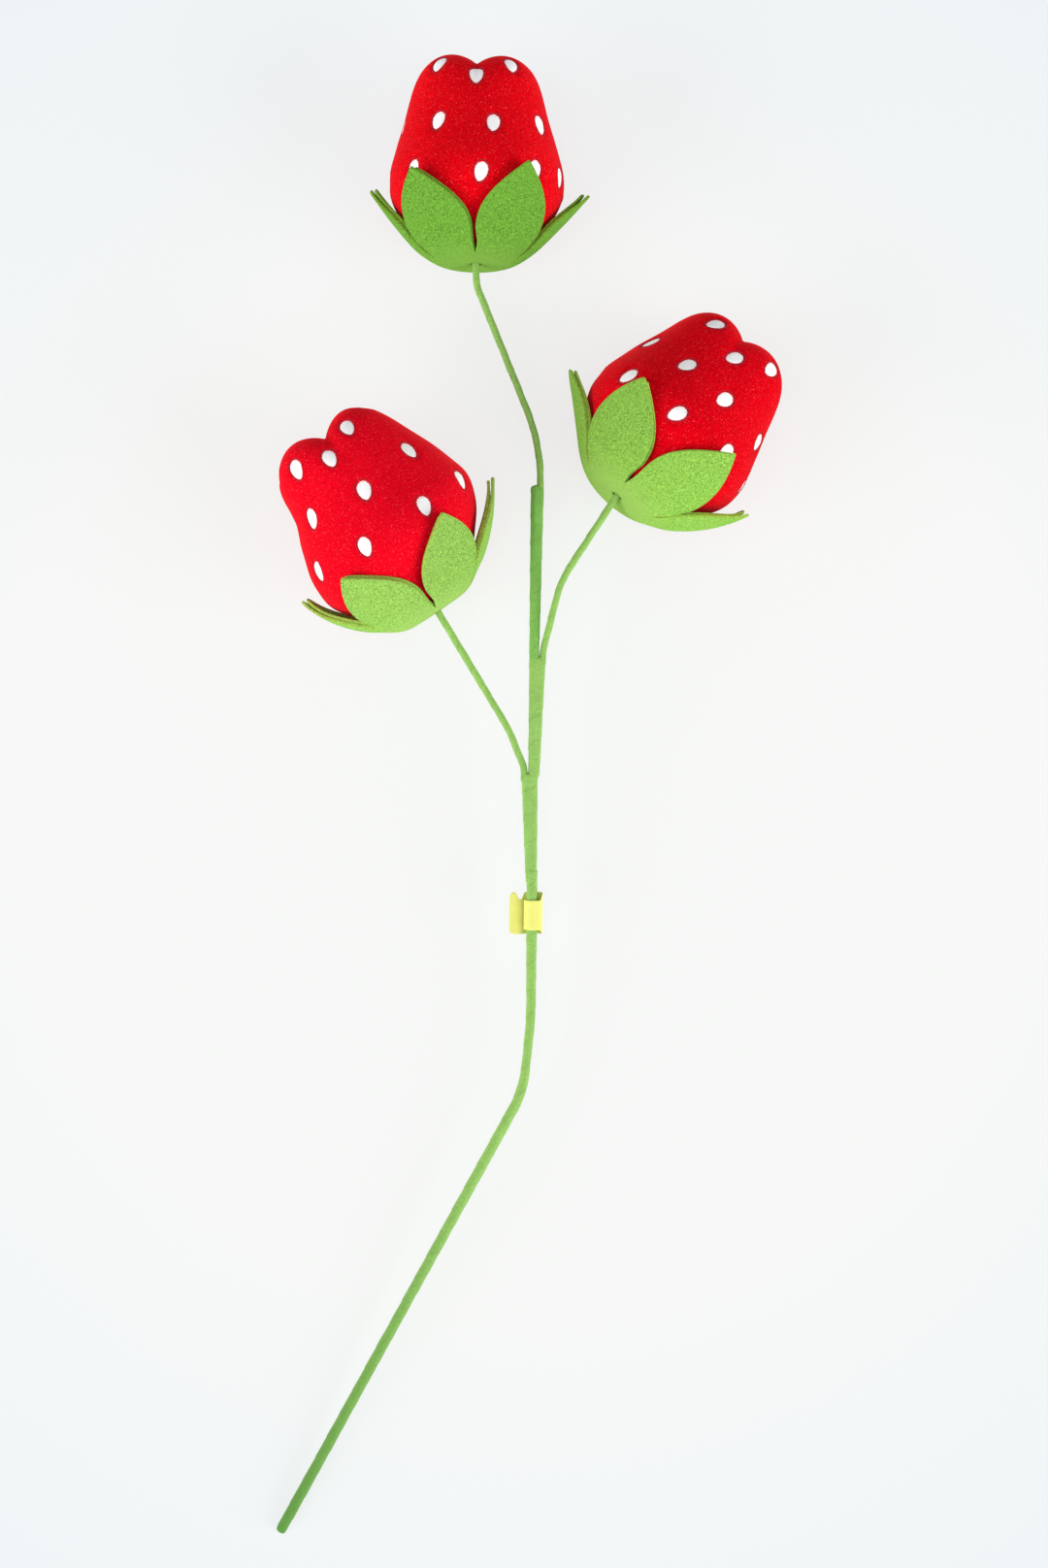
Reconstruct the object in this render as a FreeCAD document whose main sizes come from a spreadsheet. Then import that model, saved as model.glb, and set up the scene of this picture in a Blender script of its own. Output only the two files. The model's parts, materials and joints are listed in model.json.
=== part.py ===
import FreeCAD, Part
import math
import os
import Sketcher

# A spray of three stuffed fabric strawberries on one wire stem, lying flat.
# Frame: +Y runs along the stem towards the berries, +Z is up from the surface it lies on,
# and the origin is the middle of the bounding box's base. Millimetres and degrees.
# Headings are measured from +Y, positive to the left, which is towards -X.
# A sub-part's own frame has +Z along the wire or berry, +X up and +Y to the right.

DIMENSIONS = [
    # main stem
    ("stem_wire_radius", 1.25),
    ("stem_wrap_radius", 2.15),
    ("foot_wrap_radius", 2.4),
    ("foot_cap", 1.2),
    ("foot_length", 233.7),
    ("foot_heading", -28.65),
    ("kink_heading", -6.0),
    ("stem_heading", -0.5),
    ("stem_pitch", 3.9),
    ("kink_run", 33.2),
    ("kink_arc", 150.0),
    ("joint_gap", 0.25),
    ("corner_across", 1.18),
    ("corner_along", -96.77),
    # bindings, measured along the straight stem from its corner
    ("binding_start", 60.8),
    ("left_pivot_at", 113.6),
    ("right_pivot_at", 166.1),
    ("top_pivot_at", 241.4),
    ("side_pivot_offset", 3.9),
    ("top_pivot_offset", 2.15),
    ("tail_trim_radius", 6.0),
    ("tail_contact", 2.1),
    ("side_tail_length", 34.0),
    ("top_tail_length", 46.0),
    ("tape_round_tail", 0.75),
    ("binding_foot_offset", 1.2),
    ("top_binding_foot_offset", 0.25),
    ("binding_foot_radius", 1.6),
    ("top_binding_foot_radius", 1.95),
    # branches
    ("branch_wire_radius", 0.8),
    ("branch_wrap_radius", 1.5),
    # label
    ("label_at", 40.3),
    ("label_strip", 15.5),
    ("label_flag", 19.0),
    ("label_paper", 0.25),
    ("label_half_height", 2.6),
    ("label_left", 0.3),
    ("label_right", 2.0),
    ("label_reach", 9.9),
    # berries
    ("berry_radius", 40.5),
    ("berry_widest_at", 36.0),
    ("berry_base_at", 2.95),
    ("flat_radius", 20.0),
    ("flat_rise", 2.2),
    ("flat_arc", 92.0),
    ("shoulder_arc", 37.5),
    ("side_arc", 150.0),
    ("tip_edge_radius", 24.0),
    ("tip_edge_at", 89.0),
    ("tip_arc", 12.2),
    ("crest_radius", 13.0),
    ("crest_at", 96.0),
    ("dimple_arc", 17.1),
    ("dimple_at", 90.0),
    ("cover_thickness", 1.2),
    ("filling_gap", 0.1),
    ("neck_opening_radius", 3.0),
    ("anchor_length", 56.0),
    ("anchor_hook_arc", 4.0),
    ("anchor_toe", 0.8),
    ("anchor_return", 8.0),
    ("anchor_first_turn", 90.0),
    ("anchor_full_turn", 170.0),
    ("knot_radius", 1.5),
    ("knot_thread", 0.4),
    ("knot_at", 90.6),
    # seeds
    ("seed_height", 0.7),
    ("seed_width", 5.8),
    ("seed_length", 8.6),
    ("seed_bar", 5.0),
    ("seed_free_from", 46.0),
    ("seeds_in_row", 8),
    # calyx
    ("felt_thickness", 1.2),
    ("layer_gap", 0.1),
    ("neck_hole_radius", 2.1),
    ("bowl_arc", 35.6),
    ("bowl_radius", 33.0),
    ("bowl_rise", 11.5),
    ("flare_arc", 106.0),
    ("leaf_tip_radius", 50.5),
    ("leaf_tip_rise", 32.5),
    ("tip_parting", 1.0),
    ("leaf_arc", 19.5),
    ("leaf_tip_across", 49.5),
    ("notch_radius", 20.0),
    ("leaf_count", 5),
    ("leaf_spacing", 72.0),
    ("pressed_arc", 33.8),
    ("pressed_leaf_radius", 41.2),
    ("pressed_leaf_rise", 30.0),
    ("pressed_shoulder", 4.5),
    ("pressed_edge_arc", 21.45),
    ("glue_radius", 12.0),
    ("glue_clearance", 0.03),
]

doc = FreeCAD.newDocument("strawberry_spray")
sheet = doc.addObject("Spreadsheet::Sheet", "Dimensions")
for row, (alias, amount) in enumerate(DIMENSIONS, start=1):
    sheet.set(f"A{row}", alias)
    sheet.set(f"B{row}", str(amount))
    sheet.setAlias(f"B{row}", alias)
doc.recompute()

V = FreeCAD.Vector
subparts = []


# ---- sizes from the sheet: a size is a list of (share, alias) terms ----

def cell(alias):
    return float(sheet.get(alias))


def size(*aliases):
    return [(1, alias) for alias in aliases]


def scaled(terms, share):
    return [(share * part, alias) for part, alias in terms]


def number(terms):
    return sum(share * cell(alias) for share, alias in terms)


def formula(terms):
    return " + ".join(f"({share}) * Dimensions.{alias}" for share, alias in terms) or "0"


def bind(thing, prop, terms):
    thing.setExpression(prop, formula(terms))


# ---- placements ----

def placed(base, heading, pitch):
    """A frame at base whose Z runs along heading and pitch, with X up and Y to the right."""
    upright = FreeCAD.Rotation(V(0, 0, 1), V(1, 0, 0), V(0, 1, 0), "ZXY")
    pitched = FreeCAD.Rotation(V(1, 0, 0), pitch)
    turned = FreeCAD.Rotation(V(0, 0, 1), heading)
    return FreeCAD.Placement(base, turned.multiply(pitched).multiply(upright))


def keep(thing, label):
    """Names a finished sub-part and lists it for export."""
    thing.Label = label
    subparts.append(thing)
    return thing


# ---- sketches ----

def new_body(name, placement):
    body = doc.addObject("PartDesign::Body", name)
    body.Placement = placement
    return body


def sketch_on(body, name, role, offset=()):
    plane = next(f for f in body.Origin.OriginFeatures if f.Role == role)
    sketch = body.newObject("Sketcher::SketchObject", name)
    sketch.AttachmentSupport = [(plane, "")]
    sketch.MapMode = "FlatFace"
    if offset:
        sketch.AttachmentOffset = FreeCAD.Placement(V(0, 0, number(offset)), FreeCAD.Rotation())
        bind(sketch, "AttachmentOffset.Base.z", offset)
    return sketch


def constrain(sketch, kind, *where, terms=()):
    """Adds a constraint, and binds its value to the sheet when it has one."""
    if not terms:
        return sketch.addConstraint(Sketcher.Constraint(kind, *where))
    amount = number(terms)
    if kind == "Angle":
        amount = math.radians(amount)
    index = sketch.addConstraint(Sketcher.Constraint(kind, *where, amount))
    sketch.setExpression(f"Constraints[{index}]", formula(terms))
    return index


def pin_point(sketch, geometry, end, across, along):
    """Holds one point of a sketch at sizes measured from the sketch's origin."""
    for kind, axis, terms in (("DistanceX", -2, across), ("DistanceY", -1, along)):
        amount = number(terms)
        if abs(amount) < 1e-9:
            constrain(sketch, "PointOnObject", geometry, end, axis)
        elif amount > 0:
            constrain(sketch, kind, -1, 1, geometry, end, terms=terms)
        else:
            constrain(sketch, kind, geometry, end, -1, 1, terms=scaled(terms, -1))


def circles(sketch, radii, across=(), along=()):
    """Concentric circles, which make a disc or a ring."""
    for radius in radii:
        centre = V(number(across), number(along), 0)
        index = sketch.addGeometry(Part.Circle(centre, V(0, 0, 1), number(radius)))
        pin_point(sketch, index, 3, across, along)
        constrain(sketch, "Radius", index, terms=radius)
    return sketch


def arc_between(start, end, radius):
    """An arc from start to end. Its centre is on the left of the way for a positive radius."""
    chord = end - start
    left = V(-chord.y, chord.x, 0).normalize()
    sagitta_base = math.sqrt(radius * radius - chord.Length * chord.Length / 4)
    centre = (start + end) * 0.5 + left * math.copysign(sagitta_base, radius)
    first, last = (start, end) if radius > 0 else (end, start)
    angles = [math.atan2(p.y - centre.y, p.x - centre.x) for p in (first, last)]
    circle = Part.Circle(centre, V(0, 0, 1), abs(radius))
    return Part.ArcOfCircle(circle, angles[0], angles[1])


def outline(sketch, points, arcs):
    """A closed outline through points, each (across, along). arcs gives the radius of the stretch after a
    point as (side, size), with side 1 when the centre is on the left of the way; the others are straight."""
    spots = [V(number(across), number(along), 0) for across, along in points]
    ends = []
    for i, start in enumerate(spots):
        end = spots[(i + 1) % len(spots)]
        side, radius = arcs.get(i, (0, ()))
        shape = arc_between(start, end, side * number(radius)) if side else Part.LineSegment(start, end)
        sketch.addGeometry(shape)
        ends.append((2, 1) if side < 0 else (1, 2))
    for i, (across, along) in enumerate(points):
        constrain(sketch, "Coincident", i - 1 if i else len(points) - 1, ends[i - 1][1], i, ends[i][0])
        pin_point(sketch, i, ends[i][0], across, along)
    for i, (side, radius) in arcs.items():
        constrain(sketch, "Radius", i, terms=radius)
    return sketch


def path(sketch, start, straights, headings, radii):
    """An open route from start along +Z: straight runs joined by tangent arcs."""
    spot = V(0, number(start), 0)
    lines = []
    for i, run in enumerate(straights):
        angle = math.radians(number(headings[i]))
        ahead = V(-math.sin(angle), math.cos(angle), 0)
        if i:
            before = math.radians(number(headings[i - 1]))
            side = math.copysign(number(radii[i - 1]), angle - before)
            centre = spot + V(-math.cos(before), -math.sin(before), 0) * side
            end = centre - V(-math.cos(angle), -math.sin(angle), 0) * side
            arc = sketch.addGeometry(arc_between(spot, end, side))
            constrain(sketch, "Radius", arc, terms=radii[i - 1])
            constrain(sketch, "Tangent", lines[-1], 2, arc, 1 if side > 0 else 2)
            spot = end
        line = sketch.addGeometry(Part.LineSegment(spot, spot + ahead * number(run)))
        spot = spot + ahead * number(run)
        if i:
            constrain(sketch, "Tangent", arc, 2 if side > 0 else 1, line, 1)
        else:
            pin_point(sketch, line, 1, (), start)
        constrain(sketch, "Distance", line, terms=run)
        index = sketch.addConstraint(Sketcher.Constraint("Angle", line, math.pi / 2 + angle))
        sketch.setExpression(f"Constraints[{index}]", "90 + " + formula(headings[i]))
        lines.append(line)
    return spot


# ---- solids ----

def turned_solid(name, placement, points, arcs):
    """A solid turned about its own Z from a half outline."""
    body = new_body(name, placement)
    sketch = outline(sketch_on(body, name + "_profile", "XZ_Plane"), points, arcs)
    turn = body.newObject("PartDesign::Revolution", name + "_turn")
    turn.Profile = sketch
    turn.ReferenceAxis = (sketch, ["V_Axis"])
    turn.Angle = 360
    return body


def round_bar(name, placement, radius, length, start=(), across=()):
    """A straight round bar along Z."""
    body = new_body(name, placement)
    sketch = circles(sketch_on(body, name + "_section", "XY_Plane", start), [radius], (), across)
    pad = body.newObject("PartDesign::Pad", name + "_pad")
    pad.Profile = sketch
    pad.Length = number(length)
    bind(pad, "Length", length)
    return body


def bent_bar(name, placement, radius, start, straights, headings, radii):
    """A round bar that follows a route. Returns the body and the route's end in the sketch's frame."""
    body = new_body(name, placement)
    spine = sketch_on(body, name + "_path", "YZ_Plane")
    end = path(spine, start, straights, headings, radii)
    section = circles(sketch_on(body, name + "_section", "XY_Plane", start), [radius])
    pipe = body.newObject("PartDesign::AdditivePipe", name + "_pipe")
    pipe.Profile = section
    pipe.Spine = (spine, [])
    return body, end


def ball(name, placement, radius):
    sphere = doc.addObject("Part::Sphere", name)
    bind(sphere, "Radius", radius)
    sphere.Placement = placement
    return sphere


def joined(kind, name, things):
    """A Part boolean of two or more things: MultiFuse, MultiCommon, or Cut of the first by the rest."""
    if kind == "Cut":
        tool = things[1]
        if len(things) > 2:
            tool = joined("MultiFuse", name + "_tools", things[1:])
        result = doc.addObject("Part::Cut", name)
        result.Base = things[0]
        result.Tool = tool
        return result
    result = doc.addObject("Part::" + kind, name)
    result.Shapes = things
    return result


# ---- layout of the stem ----

pitch = cell("stem_pitch")
corner_height = (
    cell("foot_wrap_radius") * math.cos(math.radians(pitch))
    + (cell("foot_length") + cell("kink_run")) * math.sin(math.radians(pitch))
)
corner = V(cell("corner_across"), cell("corner_along"), corner_height)
stem_frame = placed(corner, cell("stem_heading"), pitch)
kink_way = placed(V(0, 0, 0), cell("kink_heading"), pitch).multVec(V(0, 0, 1))
kink = corner - kink_way * cell("kink_run")
kink_frame = placed(kink, cell("kink_heading"), pitch)
foot_way = placed(V(0, 0, 0), cell("foot_heading"), pitch).multVec(V(0, 0, 1))
foot_end = kink - foot_way * cell("foot_length")
foot_frame = placed(foot_end, cell("foot_heading"), pitch)

mouth_drop = size("branch_wrap_radius", "joint_gap")
top_mouth = size("top_pivot_at") + scaled(mouth_drop, -1)
right_mouth = size("right_pivot_at") + scaled(mouth_drop, -1)
left_mouth = size("left_pivot_at") + scaled(mouth_drop, -1)


# ---- the foot: the wire below the kink, with tape folded over its cut end ----

def build_foot():
    wire_length = size("foot_length") + scaled(size("foot_cap"), -1)
    wire = round_bar("foot_wire", foot_frame, size("stem_wire_radius"), wire_length, size("foot_cap"))
    keep(wire, "foot_wire")
    sleeve = round_bar("foot_sleeve", foot_frame, size("foot_wrap_radius"), size("foot_length"))
    knuckle = ball("foot_knuckle", kink_frame, size("foot_wrap_radius"))
    whole = joined("MultiFuse", "foot_sleeve_and_knuckle", [sleeve, knuckle])
    keep(joined("Cut", "foot_wrap", [whole, wire]), "foot_wrap")


# ---- the main stem: one wire with a slow bend, taped up to the first binding ----

def stem_bar(name, radius, top):
    """A bar on the main wire's route, from just above the kink to a height on the straight stem."""
    turn = size("stem_heading") + scaled(size("kink_heading"), -1)
    tangent = cell("kink_arc") * math.tan(math.radians(number(turn)) / 2)
    half_turn_share = tangent / cell("kink_arc")
    start = size("foot_wrap_radius", "joint_gap")
    bend = scaled(size("kink_arc"), -half_turn_share)
    first = size("kink_run") + scaled(start, -1) + bend
    body, _ = bent_bar(
        name, kink_frame, radius, start, [first, top + bend], [(), turn], [size("kink_arc")]
    )
    return body


def build_stem():
    wire = stem_bar("stem_wire", size("stem_wire_radius"), top_mouth)
    keep(wire, "stem_wire")
    sleeve = stem_bar("stem_sleeve", size("stem_wrap_radius"), size("binding_start"))
    keep(joined("Cut", "stem_wrap", [sleeve, wire]), "stem_wrap")
    return wire


# ---- the bindings: tape over the main wire and a branch's tail ----

def binding_section(body, name, height, side, offset, tail_radius):
    """Two circles side by side and the straight lines that the tape makes between them."""
    sketch = sketch_on(body, name, "XY_Plane", height)
    main = number(size("stem_wrap_radius"))
    tail = number(tail_radius)
    away = number(offset)
    lean = math.asin((main - tail) / away)
    # in this plane x is up and y is to the right
    up = [V(math.cos(lean), side * math.sin(lean), 0), V(-math.cos(lean), side * math.sin(lean), 0)]
    tail_centre = V(0, side * away, 0)
    main_ends = [up[0] * main, up[1] * main]
    tail_ends = [tail_centre + up[0] * tail, tail_centre + up[1] * tail]
    start, end = (main_ends[0], main_ends[1]) if side > 0 else (main_ends[1], main_ends[0])
    angle = [math.atan2(p.y, p.x) for p in (end, start)]
    back = Part.ArcOfCircle(Part.Circle(V(0, 0, 0), V(0, 0, 1), main), angle[0], angle[1])
    first, last = (tail_ends[0], tail_ends[1]) if side > 0 else (tail_ends[1], tail_ends[0])
    angle = [math.atan2(p.y - tail_centre.y, p.x) for p in (first, last)]
    front = Part.ArcOfCircle(Part.Circle(tail_centre, V(0, 0, 1), tail), angle[0], angle[1])
    sketch.addGeometry(back)
    sketch.addGeometry(front)
    sketch.addGeometry(Part.LineSegment(start, first))
    sketch.addGeometry(Part.LineSegment(last, end))
    constrain(sketch, "Coincident", 0, 3, -1, 1)
    constrain(sketch, "Tangent", 0, 2, 2, 1)
    constrain(sketch, "Tangent", 2, 2, 1, 1)
    constrain(sketch, "Tangent", 1, 2, 3, 1)
    constrain(sketch, "Tangent", 3, 2, 0, 1)
    constrain(sketch, "Radius", 0, terms=size("stem_wrap_radius"))
    constrain(sketch, "Radius", 1, terms=tail_radius)
    pin_point(sketch, 1, 3, (), scaled(offset, side))
    return sketch


def build_binding(name, side, bottom, mouth, pivot_offset, tail_length, foot_offset, foot_radius, wire):
    """One tape binding and the straight tail of branch wire inside it."""
    body = new_body(name + "_tape", stem_frame)
    tail_tape = size("branch_wire_radius", "tape_round_tail")
    wide = binding_section(body, name + "_wide", mouth, side, pivot_offset, tail_tape)
    narrow = binding_section(body, name + "_narrow", bottom, side, foot_offset, foot_radius)
    sections = [narrow]
    if name == "upper_binding":
        shoulder = mouth + scaled(tail_length, -1)
        top = binding_section(body, name + "_shoulder", shoulder, side, pivot_offset, tail_tape)
        sections.insert(0, top)
    loft = body.newObject("PartDesign::AdditiveLoft", name + "_loft")
    loft.Profile = wide
    loft.Sections = sections
    loft.Ruled = True
    spread = number(pivot_offset) - cell("tail_contact")
    lean = math.degrees(math.asin(spread / number(tail_length)))
    if name == "upper_binding":
        lean = 0.0
    mouth_spot = stem_frame.multVec(V(0, side * number(pivot_offset), number(mouth)))
    inwards = FreeCAD.Rotation(V(1, 0, 0), -side * lean)
    tail_frame = FreeCAD.Placement(mouth_spot, stem_frame.Rotation.multiply(inwards))
    tail = round_bar(name + "_tail", tail_frame, size("branch_wire_radius"), tail_length)
    tail.Tip.Reversed = True
    if lean:
        # the leaning bar is trimmed square with the mouth
        clip = round_bar(name + "_clip", stem_frame, size("tail_trim_radius"), mouth)
        tail = joined("MultiCommon", name + "_tail_trimmed", [tail, clip])
    keep(tail, name.replace("binding", "tail_wire"))
    keep(joined("Cut", name, [body, wire, tail]), name)


# ---- the branches ----

BRANCHES = {
    "left": {
        "side": -1,
        "headings": (22.0, 30.9),
        "straights": (14.5, 57.5),
        "arcs": (60.0,),
        "berry_heading": 34.0,
        "berry_tilt": -3.0,
    },
    "right": {
        "side": 1,
        "headings": (-14.4, -33.3),
        "straights": (24.8, 37.1),
        "arcs": (50.0,),
        "berry_heading": -40.2,
        "berry_tilt": 12.0,
    },
    "top": {
        "side": 1,
        "headings": (0.0, 22.2, 0.0),
        "straights": (0.7, 54.8, 4.8),
        "arcs": (85.0, 22.0),
        "berry_heading": -0.5,
        "berry_tilt": 2.0,
    },
}


ORDER = ("first", "second", "third")


def add_branch_cells():
    """The branches' own driving dimensions, in the same sheet."""
    row = len(DIMENSIONS) + 1
    for name, branch in BRANCHES.items():
        entries = [(f"{name}_berry_heading", branch["berry_heading"])]
        entries.append((f"{name}_berry_tilt", branch["berry_tilt"]))
        for kind in ("headings", "straights", "arcs"):
            entries += [(f"{name}_{kind}_{word}", x) for word, x in zip(ORDER, branch[kind])]
        for alias, amount in entries:
            sheet.set(f"A{row}", alias)
            sheet.set(f"B{row}", str(amount))
            sheet.setAlias(f"B{row}", alias)
            row += 1
    doc.recompute()


def neck_height(name):
    """How high a berry's neck stands when its pressed leaf touches the surface."""
    tilt = math.radians(cell(f"{name}_berry_tilt"))
    leaf_radius = cell("pressed_leaf_radius") + 2 * cell("felt_thickness") + cell("layer_gap")
    return leaf_radius * math.cos(tilt) + cell("pressed_leaf_rise") * math.sin(tilt)


def build_branch(name):
    """A taped wire from its pivot at the binding to the berry's neck. Returns the berry's frame."""
    branch = BRANCHES[name]
    count = len(branch["straights"])
    straights = [size(f"{name}_straights_{word}") for word in ORDER[:count]]
    first = size(f"{name}_headings_first")
    turns = [size(f"{name}_headings_{word}") + scaled(first, -1) for word in ORDER[:count]]
    turns[0] = ()
    radii = [size(f"{name}_arcs_{word}") for word in ORDER[:count - 1]]
    offset = size("top_pivot_offset") if name == "top" else scaled(size("side_pivot_offset"), branch["side"])
    pivot = stem_frame.multVec(V(0, number(offset), cell(f"{name}_pivot_at")))
    flat = placed(pivot, number(first), 0)
    radius = size("branch_wire_radius")
    wire, end = bent_bar(f"{name}_branch_wire", flat, radius, (), straights, turns, radii)
    climb = math.degrees(math.asin((neck_height(name) - pivot.z) / end.y))
    frame = placed(pivot, number(first), climb)
    wire.Placement = frame
    keep(wire, f"{name}_branch_wire")
    sleeve, _ = bent_bar(f"{name}_sleeve", frame, size("branch_wrap_radius"), (), straights, turns, radii)
    neck = frame.multVec(V(0, end.x, end.y))
    berry_frame = placed(neck, cell(f"{name}_berry_heading"), -cell(f"{name}_berry_tilt"))
    last_heading = cell(f"{name}_headings_{ORDER[count - 1]}")
    root_ball = ball(f"{name}_root_ball", frame, size("branch_wrap_radius"))
    neck_ball = ball(f"{name}_neck_ball", placed(neck, last_heading, climb), size("branch_wrap_radius"))
    whole = joined("MultiFuse", f"{name}_sleeve_and_balls", [sleeve, root_ball, neck_ball])
    keep(joined("Cut", f"{name}_branch_wrap", [whole, wire]), f"{name}_branch_wrap")
    return berry_frame


# ---- the label ----

def build_label():
    """A paper strip looped loosely round the stem, its ends stuck together as a flag."""
    body = new_body("label", stem_frame)
    sketch = sketch_on(body, "label_loop", "XY_Plane", size("label_at"))
    inner = size("label_half_height")
    for radius in (inner, inner + size("label_paper")):
        reach = number(radius)
        left = -cell("label_left")
        right = cell("label_right")
        base = sketch.GeometryCount
        circle_left = Part.Circle(V(0, left, 0), V(0, 0, 1), reach)
        circle_right = Part.Circle(V(0, right, 0), V(0, 0, 1), reach)
        sketch.addGeometry(Part.ArcOfCircle(circle_left, -math.pi, 0))
        sketch.addGeometry(Part.ArcOfCircle(circle_right, 0, math.pi))
        sketch.addGeometry(Part.LineSegment(V(reach, left, 0), V(reach, right, 0)))
        sketch.addGeometry(Part.LineSegment(V(-reach, right, 0), V(-reach, left, 0)))
        constrain(sketch, "Tangent", base, 2, base + 2, 1)
        constrain(sketch, "Tangent", base + 2, 2, base + 1, 1)
        constrain(sketch, "Tangent", base + 1, 2, base + 3, 1)
        constrain(sketch, "Tangent", base + 3, 2, base, 1)
        constrain(sketch, "Radius", base, terms=radius)
        pin_point(sketch, base, 3, (), scaled(size("label_left"), -1))
        pin_point(sketch, base + 1, 3, (), size("label_right"))
    pad = body.newObject("PartDesign::Pad", "label_loop_pad")
    pad.Profile = sketch
    bind(pad, "Length", size("label_strip"))
    flag = sketch_on(body, "label_flag_section", "XY_Plane", size("label_at"))
    paper = size("label_paper")
    near = scaled(size("label_left", "label_half_height"), -1) + scaled(paper, -0.5)
    far = scaled(size("label_reach"), -1)
    corners = [(paper, near), (scaled(paper, -1), near), (scaled(paper, -1), far), (paper, far)]
    outline(flag, corners[::-1], {})
    flag_pad = body.newObject("PartDesign::Pad", "label_flag_pad")
    flag_pad.Profile = flag
    bind(flag_pad, "Length", size("label_flag"))
    keep(body, "label")


# ---- the berries ----

def berry_form(name, frame, inset):
    """A berry's solid form, drawn in by inset all over. Its half outline runs from the base to the tip."""
    def drawn_in(across, along, share_across, share_along):
        return (
            across + scaled(inset, -share_across) if across else (),
            along + scaled(inset, -share_along),
        )

    base = size("berry_base_at")
    points = [
        drawn_in((), base, 0, -1),
        drawn_in(size("flat_radius"), base + size("flat_rise"), 0.3, -0.95),
        drawn_in(size("berry_radius"), size("berry_widest_at"), 1, 0),
        drawn_in(size("tip_edge_radius"), size("tip_edge_at"), 0.9, 0.42),
        drawn_in(size("crest_radius"), size("crest_at"), -0.46, 1),
        drawn_in((), size("dimple_at"), 0, 1),
    ]
    crowned = ["flat_arc", "shoulder_arc", "side_arc", "tip_arc"]
    arcs = {i: (1, size(alias) + scaled(inset, -1)) for i, alias in enumerate(crowned)}
    arcs[4] = (-1, size("dimple_arc") + list(inset))
    return turned_solid(name, frame, points, arcs)


def profile_spot(along):
    """The cover's outer radius and outward slope at a distance along the berry's axis."""
    knots = [
        (cell("berry_widest_at"), cell("berry_radius"), cell("side_arc")),
        (cell("tip_edge_at"), cell("tip_edge_radius"), cell("tip_arc")),
        (cell("crest_at"), cell("crest_radius"), 0),
    ]
    if along < knots[0][0]:
        start = V(cell("flat_radius"), cell("berry_base_at") + cell("flat_rise"), 0)
        end = V(knots[0][1], knots[0][0], 0)
        radius = cell("shoulder_arc")
    else:
        stretch = 0 if along <= knots[1][0] else 1
        start = V(knots[stretch][1], knots[stretch][0], 0)
        end = V(knots[stretch + 1][1], knots[stretch + 1][0], 0)
        radius = knots[stretch][2]
    centre = arc_between(start, end, radius).Center
    across = centre.x + math.sqrt(radius * radius - (along - centre.y) ** 2)
    return across, math.atan2(along - centre.y, across - centre.x)


SEED_ROWS = [
    # distance along the berry, turn of the row's first seed
    (25.0, 20.0),
    (43.0, -3.0),
    (65.0, 17.0),
    (87.0, 0.0),
]


def under_pressed_leaf(along, azimuth):
    away = abs((azimuth % 360) - 180)
    return along < cell("seed_free_from") and away < cell("leaf_spacing") / 2


def build_seeds(name, frame):
    """Raised satin-stitched seeds: oval pads that follow the cover, in staggered rows."""
    count = int(cell("seeds_in_row"))
    bars = []
    for along, first in SEED_ROWS:
        radius, slope = profile_spot(along)
        for i in range(count):
            azimuth = first + i * 360 / count
            if under_pressed_leaf(along, azimuth):
                continue
            major = cell("seed_length") / 2
            minor = cell("seed_width") / 2
            oval = Part.Ellipse(V(0, 0, 0), major, minor)
            face = Part.Face(Part.Wire(oval.toShape()))
            bar = face.extrude(V(0, 0, cell("seed_bar")))
            bar.translate(V(0, 0, -cell("seed_bar") / 2))
            bar.rotate(V(0, 0, 0), V(0, 1, 0), 90 - math.degrees(slope))
            bar.translate(V(radius, 0, along))
            bar.rotate(V(0, 0, 0), V(0, 0, 1), azimuth)
            bars.append(bar)
    skin = doc.addObject("Part::Feature", f"{name}_seed_bars")
    skin.Shape = Part.makeCompound(bars)
    skin.Placement = frame
    raised = berry_form(f"{name}_seed_form", frame, scaled(size("seed_height"), -1))
    plain = berry_form(f"{name}_seed_base", frame, ())
    shell = joined("Cut", f"{name}_seed_shell", [raised, plain])
    keep(joined("MultiCommon", f"{name}_berry_seeds", [skin, shell]), f"{name}_berry_seeds")


# where a felt layer's turned outline passes, and which way it faces there
FACING_FLAT = (0, 1)
FACING_BOWL = (-0.25, 0.97)
FACING_FLARE = (-0.67, 0.74)
FACING_TIP = (-0.82, 0.57)


def moved(spot, facing, distance):
    """A point of a turned outline, moved along the way that it faces."""
    across, along = spot
    return across + scaled(distance, facing[0]), along + scaled(distance, facing[1])


def layer_outline(out, spots):
    """A felt layer between its outer face, out from the drawn curve, and its inner face."""
    felt = size("felt_thickness")
    lower = [moved(spot, facing, out) for spot, facing in spots]
    upper = [moved(spot, facing, out + felt) for spot, facing in spots]
    return lower + upper[::-1]


def neck_spots():
    """The flat middle of the calyx: its hole for the wire, and the edge of the flat."""
    sink = (cell("neck_hole_radius") / cell("flat_radius")) ** 2
    hole = (size("neck_hole_radius"), scaled(size("flat_rise"), sink))
    edge = (size("flat_radius"), size("flat_rise"))
    return [(hole, FACING_FLAT), (edge, FACING_BOWL)]


def bowl(name, frame, out, tip):
    """One felt layer's turned form: flat at the neck, then a bowl, then the flare of the leaves."""
    felt = size("felt_thickness")
    mid = (size("bowl_radius"), size("bowl_rise"))
    points = layer_outline(out, neck_spots() + [(mid, FACING_FLARE), (tip, FACING_TIP)])
    arcs = {}
    for i, alias in enumerate(["flat_arc", "bowl_arc", "flare_arc"]):
        arcs[i] = (1, size(alias) + scaled(out, -1))
        arcs[6 - i] = (-1, size(alias) + scaled(out + felt, -1))
    return turned_solid(name, frame, points, arcs)


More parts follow.
